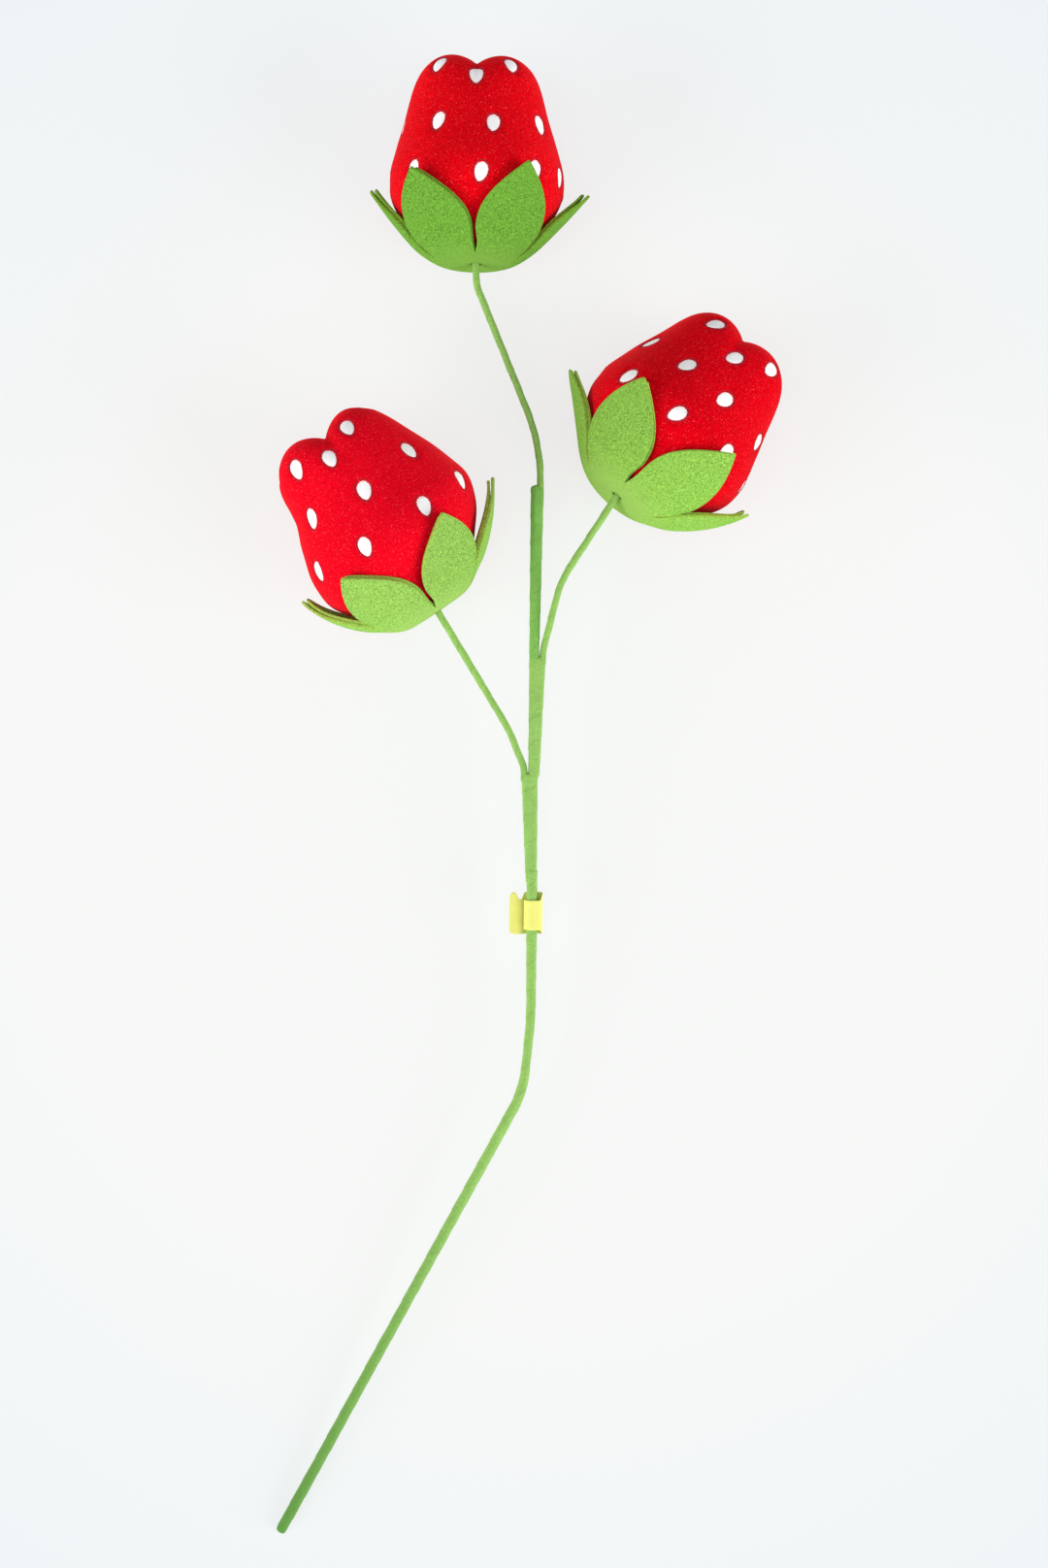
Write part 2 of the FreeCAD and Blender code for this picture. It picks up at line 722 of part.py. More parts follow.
def pressed_shell(name, frame, out):
    """The turned form of the leaf that is pressed under the berry and hugs its belly."""
    felt = size("felt_thickness")
    stack = size("felt_thickness", "felt_thickness", "layer_gap")
    end = (size("pressed_leaf_radius") + stack, size("pressed_leaf_rise"))
    points = layer_outline(out, neck_spots() + [(end, (-1, 0))])
    arcs = {
        0: (1, size("flat_arc") + scaled(out, -1)),
        1: (1, size("pressed_arc") + stack + scaled(out, -1)),
        3: (-1, size("pressed_arc") + stack + scaled(out + felt, -1)),
        4: (-1, size("flat_arc") + scaled(out + felt, -1)),
    }
    return turned_solid(name, frame, points, arcs)


def leaf_points(tip_share):
    """The notch and tip of one leaf, as seen along the berry's axis."""
    half = math.radians(cell("leaf_spacing") / 2)
    notch = size("notch_radius")
    return [
        (scaled(notch, math.cos(half)), scaled(notch, -math.sin(half))),
        (scaled(size("leaf_tip_across"), tip_share), ()),
        (scaled(notch, math.cos(half)), scaled(notch, math.sin(half))),
    ]


def star_bar(name, frame, tip_share):
    """The four open leaves and the middle disc, seen along the axis, as one tall bar."""
    body = new_body(name, frame)
    disc = circles(sketch_on(body, name + "_disc", "XY_Plane"), [size("notch_radius")])
    pad = body.newObject("PartDesign::Pad", name + "_disc_pad")
    pad.Profile = disc
    bind(pad, "Length", size("leaf_tip_radius"))
    leaf = sketch_on(body, name + "_leaf", "XY_Plane")
    points = leaf_points(tip_share) + [((), ())]
    outline(leaf, points, {0: (1, size("leaf_arc")), 1: (1, size("leaf_arc"))})
    leaf_pad = body.newObject("PartDesign::Pad", name + "_leaf_pad")
    leaf_pad.Profile = leaf
    bind(leaf_pad, "Length", size("leaf_tip_radius"))
    doc.recompute()
    axis = next(f for f in body.Origin.OriginFeatures if f.Role == "Z_Axis")
    ring = body.newObject("PartDesign::PolarPattern", name + "_ring")
    ring.Originals = [leaf_pad]
    ring.Axis = (axis, [""])
    bind(ring, "Angle", scaled(size("leaf_spacing"), cell("leaf_count") - 2))
    ring.Occurrences = int(cell("leaf_count")) - 1
    body.Tip = ring
    # the first leaf is turned so that the gap in the ring of leaves faces down
    back = -(cell("leaf_count") - 2) * cell("leaf_spacing") / 2
    body.Placement = frame.multiply(FreeCAD.Placement(V(0, 0, 0), FreeCAD.Rotation(V(0, 0, 1), back)))
    return body


def pressed_bar(name, frame):
    """The outline of the leaf that is pressed under the berry, seen from below, as one tall bar."""
    body = new_body(name, frame)
    sketch = sketch_on(body, name + "_leaf", "YZ_Plane")
    half = math.radians(cell("leaf_spacing") / 2)
    width = scaled(size("notch_radius"), math.sin(half))
    top = size("pressed_leaf_rise", "felt_thickness", "felt_thickness")
    shoulder = size("pressed_shoulder")
    points = [
        (scaled(width, -1), ()),
        (width, ()),
        (width, shoulder),
        ((), top),
        (scaled(width, -1), shoulder),
    ]
    arcs = {2: (1, size("pressed_edge_arc")), 3: (1, size("pressed_edge_arc"))}
    outline(sketch, points, arcs)
    pad = body.newObject("PartDesign::Pad", name + "_pad")
    pad.Profile = sketch
    bind(pad, "Length", size("leaf_tip_radius"))
    pad.Reversed = True
    return body


def build_calyx(name, frame):
    """Two felt stars, one on the other, glued to the berry's base round the wire."""
    outer_tip = (size("leaf_tip_radius"), size("leaf_tip_rise"))
    inner_tip = (size("leaf_tip_radius") + scaled(size("tip_parting"), -1), size("leaf_tip_rise"))
    shrink = 1 - cell("tip_parting") / cell("leaf_tip_radius")
    layers = [
        ("outer", [], outer_tip, 1),
        ("inner", size("felt_thickness", "layer_gap"), inner_tip, shrink),
    ]
    for layer, out, tip, share in layers:
        label = f"{name}_calyx_{layer}"
        star = star_bar(label + "_star", frame, share)
        open_leaves = joined("MultiCommon", label + "_open", [bowl(label + "_bowl", frame, out, tip), star])
        hug = pressed_shell(label + "_hug", frame, out)
        leaf = joined("MultiCommon", label + "_pressed", [hug, pressed_bar(label + "_pressed_bar", frame)])
        keep(joined("MultiFuse", label, [open_leaves, leaf]), label)


def build_glue(name, frame):
    """A disc of hot glue that fills the space between the calyx and the berry's base."""
    floor = size("felt_thickness", "felt_thickness", "layer_gap", "glue_clearance")
    ceiling = size("berry_base_at") + scaled(size("glue_clearance"), -1)
    spots = []
    for alias in ("neck_opening_radius", "glue_radius"):
        sink = scaled(size("flat_rise"), (cell(alias) / cell("flat_radius")) ** 2)
        spots.append((size(alias), sink))
    (hole, hole_sink), (rim, rim_sink) = spots
    points = [(hole, floor + hole_sink), (rim, floor + rim_sink)]
    points += [(rim, ceiling + rim_sink), (hole, ceiling + hole_sink)]
    arcs = {0: (1, size("flat_arc")), 2: (-1, size("flat_arc"))}
    keep(turned_solid(f"{name}_glue", frame, points, arcs), f"{name}_glue_disc")


def build_berry(name, frame):
    outer = berry_form(f"{name}_outer_form", frame, ())
    cavity = berry_form(f"{name}_cavity_form", frame, size("cover_thickness"))
    opening = round_bar(
        f"{name}_opening", frame, size("neck_opening_radius"), size("berry_widest_at")
    )
    keep(joined("Cut", f"{name}_berry_cover", [outer, cavity, opening]), f"{name}_berry_cover")

    start = size("branch_wrap_radius", "joint_gap")
    hook = size("anchor_hook_arc")
    anchor, _ = bent_bar(
        f"{name}_anchor_wire", frame, size("branch_wire_radius"), start,
        [size("anchor_length"), size("anchor_toe"), size("anchor_return")],
        [(), size("anchor_first_turn"), size("anchor_full_turn")],
        [hook, hook],
    )
    keep(anchor, f"{name}_anchor_wire")
    stuffed = berry_form(f"{name}_filling_form", frame, size("cover_thickness", "filling_gap"))
    keep(joined("Cut", f"{name}_berry_filling", [stuffed, anchor]), f"{name}_berry_filling")

    knot = doc.addObject("Part::Torus", f"{name}_tip_knot")
    bind(knot, "Radius1", size("knot_radius"))
    bind(knot, "Radius2", size("knot_thread"))
    knot.Placement = frame.multiply(FreeCAD.Placement(V(0, 0, cell("knot_at")), FreeCAD.Rotation()))
    keep(knot, f"{name}_tip_knot")
    build_glue(name, frame)
    build_seeds(name, frame)
    build_calyx(name, frame)


# ---- building and writing ----

def check_all():
    """Stops on any object that failed, and on any sub-part without a sound shape."""
    for thing in doc.Objects:
        if "Invalid" in thing.State or "Error" in thing.State:
            raise RuntimeError(f"{thing.Name} ({thing.Label}) failed: {thing.State}")
    for part in subparts:
        if part.Shape.isNull() or not part.Shape.isValid() or part.Shape.Volume <= 0:
            raise RuntimeError(f"sub-part {part.Label} has no sound shape")


add_branch_cells()
build_foot()
main_wire = build_stem()
build_binding(
    "lower_binding", -1, size("binding_start"), left_mouth, size("side_pivot_offset"),
    size("side_tail_length"), size("binding_foot_offset"), size("binding_foot_radius"), main_wire,
)
build_binding(
    "middle_binding", 1, left_mouth, right_mouth, size("side_pivot_offset"),
    size("side_tail_length"), size("binding_foot_offset"), size("binding_foot_radius"), main_wire,
)
build_binding(
    "upper_binding", 1, right_mouth, top_mouth, size("top_pivot_offset"),
    size("top_tail_length"), size("top_binding_foot_offset"), size("top_binding_foot_radius"), main_wire,
)
build_label()
for branch_name in BRANCHES:
    build_berry(branch_name, build_branch(branch_name))
doc.recompute()
check_all()

os.makedirs("parts", exist_ok=True)
for part in subparts:
    part.Shape.exportStep(f"parts/{part.Label}.step")

box = Part.makeCompound([part.Shape for part in subparts]).optimalBoundingBox()
print(f"{len(subparts)} sub-parts, box {box.XMin:.2f} {box.YMin:.2f} {box.ZMin:.2f}", end=" ")
print(f"to {box.XMax:.2f} {box.YMax:.2f} {box.ZMax:.2f}")
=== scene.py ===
"""Looks of a spray of three stuffed fabric strawberries on a taped wire stem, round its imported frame."""
import json
import math
import random

import bmesh
import bpy
import numpy as np
from mathutils import Matrix, Vector, noise
from mathutils.bvhtree import BVHTree


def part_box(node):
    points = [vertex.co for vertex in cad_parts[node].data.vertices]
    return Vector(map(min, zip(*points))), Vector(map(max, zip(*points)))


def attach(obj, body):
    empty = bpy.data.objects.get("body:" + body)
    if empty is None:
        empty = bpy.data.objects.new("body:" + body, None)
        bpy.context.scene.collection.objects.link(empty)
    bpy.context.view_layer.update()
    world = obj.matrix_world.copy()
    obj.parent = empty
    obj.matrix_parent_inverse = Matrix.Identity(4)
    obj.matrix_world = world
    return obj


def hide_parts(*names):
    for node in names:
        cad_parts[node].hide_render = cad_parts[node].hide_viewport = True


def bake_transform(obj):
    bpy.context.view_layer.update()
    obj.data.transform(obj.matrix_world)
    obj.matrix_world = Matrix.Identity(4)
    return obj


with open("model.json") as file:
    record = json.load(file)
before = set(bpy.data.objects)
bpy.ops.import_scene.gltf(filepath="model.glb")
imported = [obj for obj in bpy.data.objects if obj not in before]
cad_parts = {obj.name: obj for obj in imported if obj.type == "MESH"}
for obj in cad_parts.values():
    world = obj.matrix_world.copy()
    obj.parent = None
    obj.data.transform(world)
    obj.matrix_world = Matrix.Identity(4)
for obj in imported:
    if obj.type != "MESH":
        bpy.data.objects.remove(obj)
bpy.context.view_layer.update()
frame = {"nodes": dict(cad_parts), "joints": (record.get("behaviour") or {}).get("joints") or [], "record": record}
record = frame["record"]
joints = {joint["name"]: joint for joint in frame["joints"]}
MM = 0.001
UP = Vector((0, 0, 1))


def spot(joint_name):
    """Where a joint is, in the row frame."""
    return Vector(joints[joint_name]["pos_m"])


def ahead(heading):
    """The level direction of a heading in degrees, measured from +Y and positive to the left."""
    turn = math.radians(heading)
    return Vector((-math.sin(turn), math.cos(turn), 0))


def smooth_step(start, end, value):
    """A share that rises smoothly from 0 to 1 while value goes from start to end."""
    share = np.clip((value - start) / (end - start), 0, 1)
    return share * share * (3 - 2 * share)


# ---- camera, lights and floor ----

CAMERA_AT = Vector((-0.0019, 0.0096, 1.15))
CAMERA_LENS = 57.24
DOME_STRENGTH = 0.36
OVERHEAD_AT = Vector((-0.10, -0.10, 1.45))
OVERHEAD_WIDTH = 0.8
OVERHEAD_POWER = 4.8
SIDE_STRENGTH = 2.8
SIDE_SPREAD = math.radians(50)
SIDE_BACK = -0.50
SIDE_HEIGHT = 0.36
FLOOR_SIZE = 9.0
FLOOR_GLOW = 0.725
# painted shade: the floor turns cooler and a little darker between these distances from its middle
COOL_FROM = 0.24
COOL_FULL = 0.50


def build_camera():
    camera = bpy.data.objects.new("camera", bpy.data.cameras.new("camera"))
    camera.location = CAMERA_AT
    camera.data.lens = CAMERA_LENS
    camera.data.sensor_width = 36
    camera.data.clip_start = 0.05
    bpy.context.scene.collection.objects.link(camera)
    bpy.context.scene.camera = camera


def light_from(name, kind, comes_from, **settings):
    """A light that shines from a direction."""
    light = bpy.data.objects.new(name, bpy.data.lights.new(name, kind))
    for key, value in settings.items():
        setattr(light.data, key, value)
    light.rotation_mode = "QUATERNION"
    light.rotation_quaternion = comes_from.to_track_quat("Z", "Y")
    bpy.context.scene.collection.objects.link(light)
    return light


def build_lights():
    """A weak round light overhead, and a large soft light far away on each side."""
    overhead = light_from("overhead", "AREA", OVERHEAD_AT, shape="DISK", size=OVERHEAD_WIDTH,
                          energy=OVERHEAD_POWER, color=(1.0, 0.995, 0.985))
    overhead.location = OVERHEAD_AT
    for name, side in (("side_left", -1), ("side_right", 1)):
        comes_from = Vector((side, SIDE_BACK, SIDE_HEIGHT))
        light_from(name, "SUN", comes_from, angle=SIDE_SPREAD, energy=SIDE_STRENGTH)


# ---- materials ----

# painted shade: the tape turns darker between these two places along Y, the second of them near the foot's end
FOOT_SHADE_FROM = -0.16
FOOT_SHADE_FULL = -0.33


def add(tree, kind, inputs=(), **settings):
    """Adds a node. An input that is a socket is linked, and any other is a value."""
    node = tree.nodes.new("ShaderNode" + kind)
    for key, value in settings.items():
        setattr(node, key, value)
    for key, value in dict(inputs).items():
        if isinstance(value, bpy.types.NodeSocket):
            tree.links.new(value, node.inputs[key])
        else:
            node.inputs[key].default_value = value
    return node


def new_material(name, **values):
    """A material with one Principled shader. values name its constant sockets, with _ for a space."""
    material = bpy.data.materials.new(name)
    material.use_nodes = True
    shader = material.node_tree.nodes["Principled BSDF"]
    for key, value in values.items():
        shader.inputs[key.replace("_", " ")].default_value = value
    return material, material.node_tree


def coordinates(tree):
    return add(tree, "TexCoord").outputs["Object"]


def mapped(tree, value, start, end, low=0.0, high=1.0):
    """A value brought from the range start to end into the range low to high."""
    sockets = {"Value": value, "From Min": start, "From Max": end, "To Min": low, "To Max": high}
    return add(tree, "MapRange", sockets).outputs["Result"]


def part_of(tree, value, share):
    return add(tree, "Math", {0: value, 1: share}, operation="MULTIPLY").outputs[0]


def speckle(tree, where, scale, detail):
    """Noise as a value from 0 to 1, spread wider than Blender gives it."""
    texture = add(tree, "TexNoise", {"Vector": where, "Scale": scale, "Detail": detail, "Roughness": 0.6})
    return mapped(tree, texture.outputs["Fac"], 0.3, 0.7)


def mixed(tree, share, *colours):
    """A colour between two colours."""
    first, second = [c if isinstance(c, bpy.types.NodeSocket) else (*c, 1) for c in colours]
    return add(tree, "Mix", {0: share, 6: first, 7: second}, data_type="RGBA").outputs[2]


def dressed(material, colour, height, distance, strength):
    """A material with its colour and its bump linked in."""
    tree = material.node_tree
    shader = tree.nodes["Principled BSDF"]
    bump = add(tree, "Bump", {"Height": height, "Distance": distance, "Strength": strength})
    tree.links.new(bump.outputs["Normal"], shader.inputs["Normal"])
    tree.links.new(colour, shader.inputs["Base Color"])
    return material


def shade(colour, share):
    return tuple(min(1.0, channel * share) for channel in colour)


def velvet(name, colour):
    """Short red pile: a fine grain, darker patches where the pile lies down, and a red bloom at its edge."""
    material, tree = new_material(
        name, Roughness=0.95, Specular_IOR_Level=0.02, Sheen_Weight=0.9, Sheen_Roughness=0.35,
        Sheen_Tint=(1.0, 0.05, 0.055, 1),
    )
    where = coordinates(tree)
    grain = speckle(tree, where, 1050, 3)
    mottle = speckle(tree, where, 480, 2)
    patch = speckle(tree, where, 60, 3)
    fleck = mapped(tree, speckle(tree, where, 1500, 1), 0.88, 1.0)
    lifted = (min(1.0, colour[0] * 1.4), colour[1] + 0.05, colour[2] + 0.05)
    ground = mixed(tree, grain, shade(colour, 0.58), shade(colour, 1.50))
    ground = mixed(tree, part_of(tree, mottle, 0.40), ground, shade(colour, 0.92))
    ground = mixed(tree, part_of(tree, patch, 0.40), ground, shade(colour, 0.84))
    ground = mixed(tree, fleck, ground, lifted)
    return dressed(material, ground, grain, 0.0003, 0.4)


def felt(name, colour, edge=1.0):
    """Pressed wool felt: matted fibres in every direction, with painted light that makes it paler round the neck.
    edge lightens it all.
    """
    material, tree = new_material(
        name, Roughness=0.95, Specular_IOR_Level=0.03, Sheen_Weight=0.30, Sheen_Roughness=0.5,
        Sheen_Tint=(*shade(colour, 1.5), 1),
    )
    where = coordinates(tree)
    fibre = speckle(tree, where, 1250, 3)
    tuft = speckle(tree, where, 560, 3)
    cloud = speckle(tree, where, 90, 3)
    pale = add(tree, "Attribute", attribute_name="pale").outputs["Fac"]
    neck_light_colour = (colour[0] * 1.45, colour[1] * 1.20, colour[2] * 1.75)
    ground = mixed(tree, fibre, shade(colour, 0.30 * edge), shade(colour, 1.74 * edge))
    ground = mixed(tree, part_of(tree, tuft, 0.30), ground, shade(colour, 0.88 * edge))
    ground = mixed(tree, part_of(tree, cloud, 0.50), ground, shade(colour, 1.10 * edge))
    # painted light: paler round the neck, where the calyx's base catches the light
    ground = mixed(tree, part_of(tree, pale, 0.75), ground, neck_light_colour)
    return dressed(material, ground, fibre, 0.0003, 0.6)


def tape(name, colour):
    """Waxed crepe tape with crinkles across its stretch, and painted shade along each overlap's edge and towards
    the foot.
    """
    material, tree = new_material(name, Roughness=0.62, Specular_IOR_Level=0.25)
    where = coordinates(tree)
    overlap = add(tree, "Attribute", attribute_name="overlap").outputs["Fac"]
    on_tape = add(tree, "Attribute", attribute_name="tape_spot").outputs["Vector"]
    squeezed = add(tree, "Mapping", {"Vector": on_tape, "Scale": (1.0, 0.25, 1.0)}).outputs["Vector"]
    crinkle = speckle(tree, squeezed, 2400, 2)
    cloud = speckle(tree, where, 150, 3)
    grain = speckle(tree, where, 700, 3)
    # painted shade: the tape turns darker towards the foot's end
    place = add(tree, "SeparateXYZ", {"Vector": where}).outputs["Y"]
    foot_shade = mapped(tree, place, FOOT_SHADE_FROM, FOOT_SHADE_FULL, high=0.85)
    foot_shade_colour = (colour[0] * 0.30, colour[1] * 0.50, colour[2] * 0.30)
    ground = mixed(tree, cloud, shade(colour, 0.84), shade(colour, 1.12))
    ground = mixed(tree, grain, shade(colour, 0.78), ground)
    ground = mixed(tree, part_of(tree, crinkle, 0.35), ground, shade(colour, 1.35))
    # painted shade in the step along each overlap's edge
    ground = mixed(tree, part_of(tree, overlap, 0.42), ground, shade(colour, 0.45))
    ground = mixed(tree, foot_shade, ground, foot_shade_colour)
    return dressed(material, ground, crinkle, 0.00012, 0.7)


def stitching(name, colour):
    """Glossy embroidery thread, with fine strands across the seed."""
    material, tree = new_material(
        name, Roughness=0.42, Specular_IOR_Level=0.45, Sheen_Weight=0.6, Sheen_Roughness=0.5,
    )
    strand = speckle(tree, coordinates(tree), 1500, 2)
    ground = mixed(tree, strand, shade(colour, 0.93), shade(colour, 1.05))
    return dressed(material, ground, strand, 0.00006, 0.5)


def paper(name, colour):
    """Thin fluorescent paper with a faint mottle and tooth."""
    material, tree = new_material(name, Roughness=0.6, Specular_IOR_Level=0.3)
    where = coordinates(tree)
    tooth = speckle(tree, where, 2600, 3)
    cloud = speckle(tree, where, 260, 2)
    ground = mixed(tree, cloud, shade(colour, 0.97), shade(colour, 1.03))
    return dressed(material, ground, tooth, 0.00003, 0.5)


def metal_wire(name):
    """Drawn steel wire with fine scratches and a thin green enamel."""
    material, tree = new_material(name, Metallic=0.7)
    shader = tree.nodes["Principled BSDF"]
    scratch = speckle(tree, coordinates(tree), 2000, 4)
    ground = mixed(tree, scratch, (0.10, 0.16, 0.09), (0.22, 0.30, 0.18))
    tree.links.new(ground, shader.inputs["Base Color"])
    rough = mapped(tree, scratch, 0.0, 1.0, 0.3, 0.55)
    tree.links.new(rough, shader.inputs["Roughness"])
    return material


def soft_fill(name, colour, scale, roughness, bump):
    """Glue, stuffing, thread and the painted shadow round the seeds, told apart by the size and depth of their
    grain.
    """
    material, tree = new_material(name, Roughness=roughness)
    grain = speckle(tree, coordinates(tree), scale, 4)
    return dressed(material, mixed(tree, grain, shade(colour, 0.85), colour), grain, bump, 0.6)


def floor_material():
    """A white sweep, lit from below as well as above, with painted shade that turns it a little cooler and darker
    further out.
    """
    material, tree = new_material("pale_floor", Roughness=0.9, Specular_IOR_Level=0.0)
    shader = tree.nodes["Principled BSDF"]
    distance = add(tree, "VectorMath", {0: coordinates(tree)}, operation="LENGTH").outputs["Value"]
    away = mapped(tree, distance, COOL_FROM, COOL_FULL)
    tree.links.new(mixed(tree, away, (0.19, 0.20, 0.19), (0.16, 0.18, 0.19)), shader.inputs["Base Color"])
    tree.links.new(mixed(tree, away, (1.0, 1.0, 1.0), (0.92, 0.97, 1.0)), shader.inputs["Emission Color"])
    shader.inputs["Emission Strength"].default_value = FLOOR_GLOW
    return material


# ---- meshes ----

def new_piece(name, points, faces, material):
    mesh = bpy.data.meshes.new(name)
    mesh.from_pydata([tuple(point) for point in points], [], faces)
    mesh.update()
    mesh.polygons.foreach_set("use_smooth", [True] * len(mesh.polygons))
    piece = bpy.data.objects.new(name, mesh)
    bpy.context.scene.collection.objects.link(piece)
    mesh.materials.append(material)
    return piece


def grid_faces(rows, columns, closed, start=0):
    """Faces between rows of points. closed joins each row's last point to its first."""
    faces = []
    for i in range(rows - 1):
        for k in range(columns if closed else columns - 1):
            a = start + i * columns + k
            b = start + i * columns + (k + 1) % columns
            faces.append((a, b, b + columns, a + columns))
    return faces


def tube_faces(rows, around):
    """The faces of a tube of rows of points, with a face over each end."""
    last = (rows - 1) * around
    ends = [tuple(range(around))[::-1], tuple(range(last, last + around))]
    return grid_faces(rows, around, True) + ends


def unit(rows):
    return rows / np.linalg.norm(rows, axis=1)[:, None]


def settle(piece):
    """Makes a piece's modifiers part of its mesh."""
    bpy.context.view_layer.update()
    seen = piece.evaluated_get(bpy.context.evaluated_depsgraph_get())
    mesh = bpy.data.meshes.new_from_object(seen)
    piece.modifiers.clear()
    piece.data = mesh


def modifier(piece, kind, **settings):
    made = piece.modifiers.new(kind.lower(), kind)
    for key, value in settings.items():
        setattr(made, key, value)
    return made


def merge_points(piece, distance):
    shape = bmesh.new()
    shape.from_mesh(piece.data)
    bmesh.ops.remove_doubles(shape, verts=shape.verts, dist=distance)
    bmesh.ops.recalc_face_normals(shape, faces=shape.faces)
    shape.to_mesh(piece.data)
    shape.free()


def points_of(piece):
    points = np.zeros(len(piece.data.vertices) * 3)
    piece.data.vertices.foreach_get("co", points)
    return points.reshape(-1, 3)


def normals_of(piece):
    normals = np.zeros(len(piece.data.vertices) * 3)
    piece.data.vertex_normals.foreach_get("vector", normals)
    return normals.reshape(-1, 3)


def set_points(piece, points):
    piece.data.vertices.foreach_set("co", np.asarray(points, np.float32).ravel())
    piece.data.update()


def give(piece, name, kind, values):
    field = "vector" if kind == "FLOAT_VECTOR" else "value"
    attribute = piece.data.attributes.new(name, kind, "POINT")
    attribute.data.foreach_set(field, np.asarray(values, np.float32).ravel())


# ---- taped wires ----

TAPE_PITCH = 12.0 * MM
TAPE_STEP = 0.20 * MM
TAPE_LUMP = 0.09 * MM
END_ROUND = 1.9 * MM
RING_GAP = 0.7 * MM
# the overlap's edge, where painted shade lines the step from one turn to the next, as shares of one turn of the
# tape: its middle, and how far it spreads
EDGE_AT = 0.02
EDGE_SPREAD = 0.035


def route(corners, radii):
    """Evenly spaced points along straight runs whose corners are rounded by arcs."""
    line = [corners[0]]
    for before, corner, after, radius in zip(corners, corners[1:], corners[2:], radii):
        back = (before - corner).normalized()
        on = (after - corner).normalized()
        half = (math.pi - back.angle(on)) / 2
        reach = radius * math.tan(half)
        middle = corner + (back + on).normalized() * (radius / math.cos(half))
        first = corner + back * reach - middle
        steps = max(2, int(2 * half * radius / RING_GAP))
        spin = first.cross(corner + on * reach - middle).normalized()
        for i in range(steps + 1):
            line.append(middle + Matrix.Rotation(2 * half * i / steps, 3, spin) @ first)
    line.append(corners[-1])
    lengths = [0.0]
    for a, b in zip(line, line[1:]):
        lengths.append(lengths[-1] + (b - a).length)
    wanted = np.linspace(0, lengths[-1], int(lengths[-1] / RING_GAP) + 1)
    columns = [np.interp(wanted, lengths, [point[axis] for point in line]) for axis in range(3)]
    return np.stack(columns, 1), wanted


def tube_frames(line):
    """The sideways and upward directions at each point of a route that runs roughly level."""
    along = unit(np.gradient(line, axis=0))
    side = unit(np.cross(along, np.array(UP)))
    return side, np.cross(side, along)


def overlap_height(distance, turn, seed):
    """How far wound tape stands out at a point, and how close that is to an overlap's edge, the mask of the
    painted shade along the step.
    """
    wander = 0.035 * np.sin(distance / MM * 0.9 + seed) + 0.02 * np.sin(3 * turn + distance / MM * 0.37)
    phase = (distance / TAPE_PITCH + turn / math.tau + wander + seed) % 1.0
    rise = smooth_step(0.0, 0.07, phase) * (1 - 0.9 * phase)
    edge = [np.exp(-((phase - whole - EDGE_AT) / EDGE_SPREAD) ** 2) for whole in (0, 1)]
    return TAPE_STEP * rise, edge[0] + edge[1]


def lumps(points, scale, seed):
    """Smooth random values from -1 to 1 at points, the same in each run."""
    shift = Vector((seed * 7.1, seed * 3.3, seed * 5.7))
    return np.array([noise.noise(Vector(point) * scale + shift) for point in points])


def taped_tube(name, line, distance, section, material, seed, around=26):
    """Tape wound on a route and folded over its ends. section gives the outline and the way it faces."""
    side, up = tube_frames(line)
    turn = np.linspace(0, math.tau, around, endpoint=False)
    total = distance[-1]
    rows, overlap, where = [], [], []
    for i, centre in enumerate(line):
        outline, facing = section(distance[i], turn)
        rise, edge = overlap_height(np.full(around, distance[i]), turn, seed)
        outline += facing * rise[:, None]
        from_end = min(distance[i], total - distance[i], END_ROUND)
        shrink = math.sqrt(max(0.0, 1 - (1 - from_end / END_ROUND) ** 2))
        middle = outline.mean(0)
        outline = middle + (outline - middle) * max(shrink, 0.02)
        rows.append(centre + outline[:, :1] * side[i] + outline[:, 1:] * up[i])
        overlap.append(edge)
        where.append(np.stack([np.full(around, distance[i]), turn * 2 * MM, np.zeros(around)], 1))
    points = np.concatenate(rows)
    outward = points - np.repeat(line, around, 0)
    outward /= np.maximum(np.linalg.norm(outward, axis=1), 1e-9)[:, None]
    points += outward * (TAPE_LUMP * lumps(points, 170.0, seed + 1))[:, None]
    piece = new_piece(name, points, tube_faces(len(rows), around), material)
    # the mask of the painted shade along each overlap's edge
    give(piece, "overlap", "FLOAT", np.concatenate(overlap))
    give(piece, "tape_spot", "FLOAT_VECTOR", np.concatenate(where))
    return piece


def round_section(radii):
    """A round section whose radius changes along the route. radii is (distance, radius) pairs."""
    spots, sizes = zip(*radii)

    def section(distance, turn):
        facing = np.stack([np.cos(turn), np.sin(turn)], 1)
        return facing * np.interp(distance, spots, sizes), facing
    return section


def pair_section(side, offsets, tail_radii, length):
    """The tape round the main wire and a branch's tail beside it, from the binding's bottom to its mouth."""
    def section(distance, turn):
        facing = np.stack([np.cos(turn), np.sin(turn)], 1)
        offset = np.interp(distance / length, [0, 1], offsets) * side
        tail = np.interp(distance / length, [0, 1], tail_radii)
        tail_reach = facing[:, 0] * offset + tail
        lean = smooth_step(-0.35 * MM, 0.35 * MM, tail_reach - STEM_RADIUS)[:, None]
        on_tail = facing * tail + np.array([offset, 0.0])
        return facing * STEM_RADIUS * (1 - lean) + on_tail * lean, facing
    return section


# sizes of the stem, and its heading between the kink and the corner above it
FOOT_RADIUS = 2.35 * MM
STEM_RADIUS = 2.05 * MM
BRANCH_RADIUS = 1.42 * MM
KINK_HEADING = -6.0
KINK_RUN = 33.2 * MM
KINK_ROUND = 50 * MM
SLOW_ROUND = 150 * MM
BINDING_BOTTOM = 60.8 * MM
MOUTH_DROP = 1.75 * MM

kink = spot("stem_bend")
stem_way = Vector(joints["label_turn"]["axis"]).normalized()
foot_way = -Vector(record["mounts"][0]["axis"]).normalized()
level_run = ahead(KINK_HEADING)
corner = kink + Vector((level_run.x * stem_way.y, level_run.y * stem_way.y, stem_way.z)) * KINK_RUN


def along_stem(point):
    """How far along the straight stem a point is, from its corner."""
    return (Vector(point) - corner).dot(stem_way)


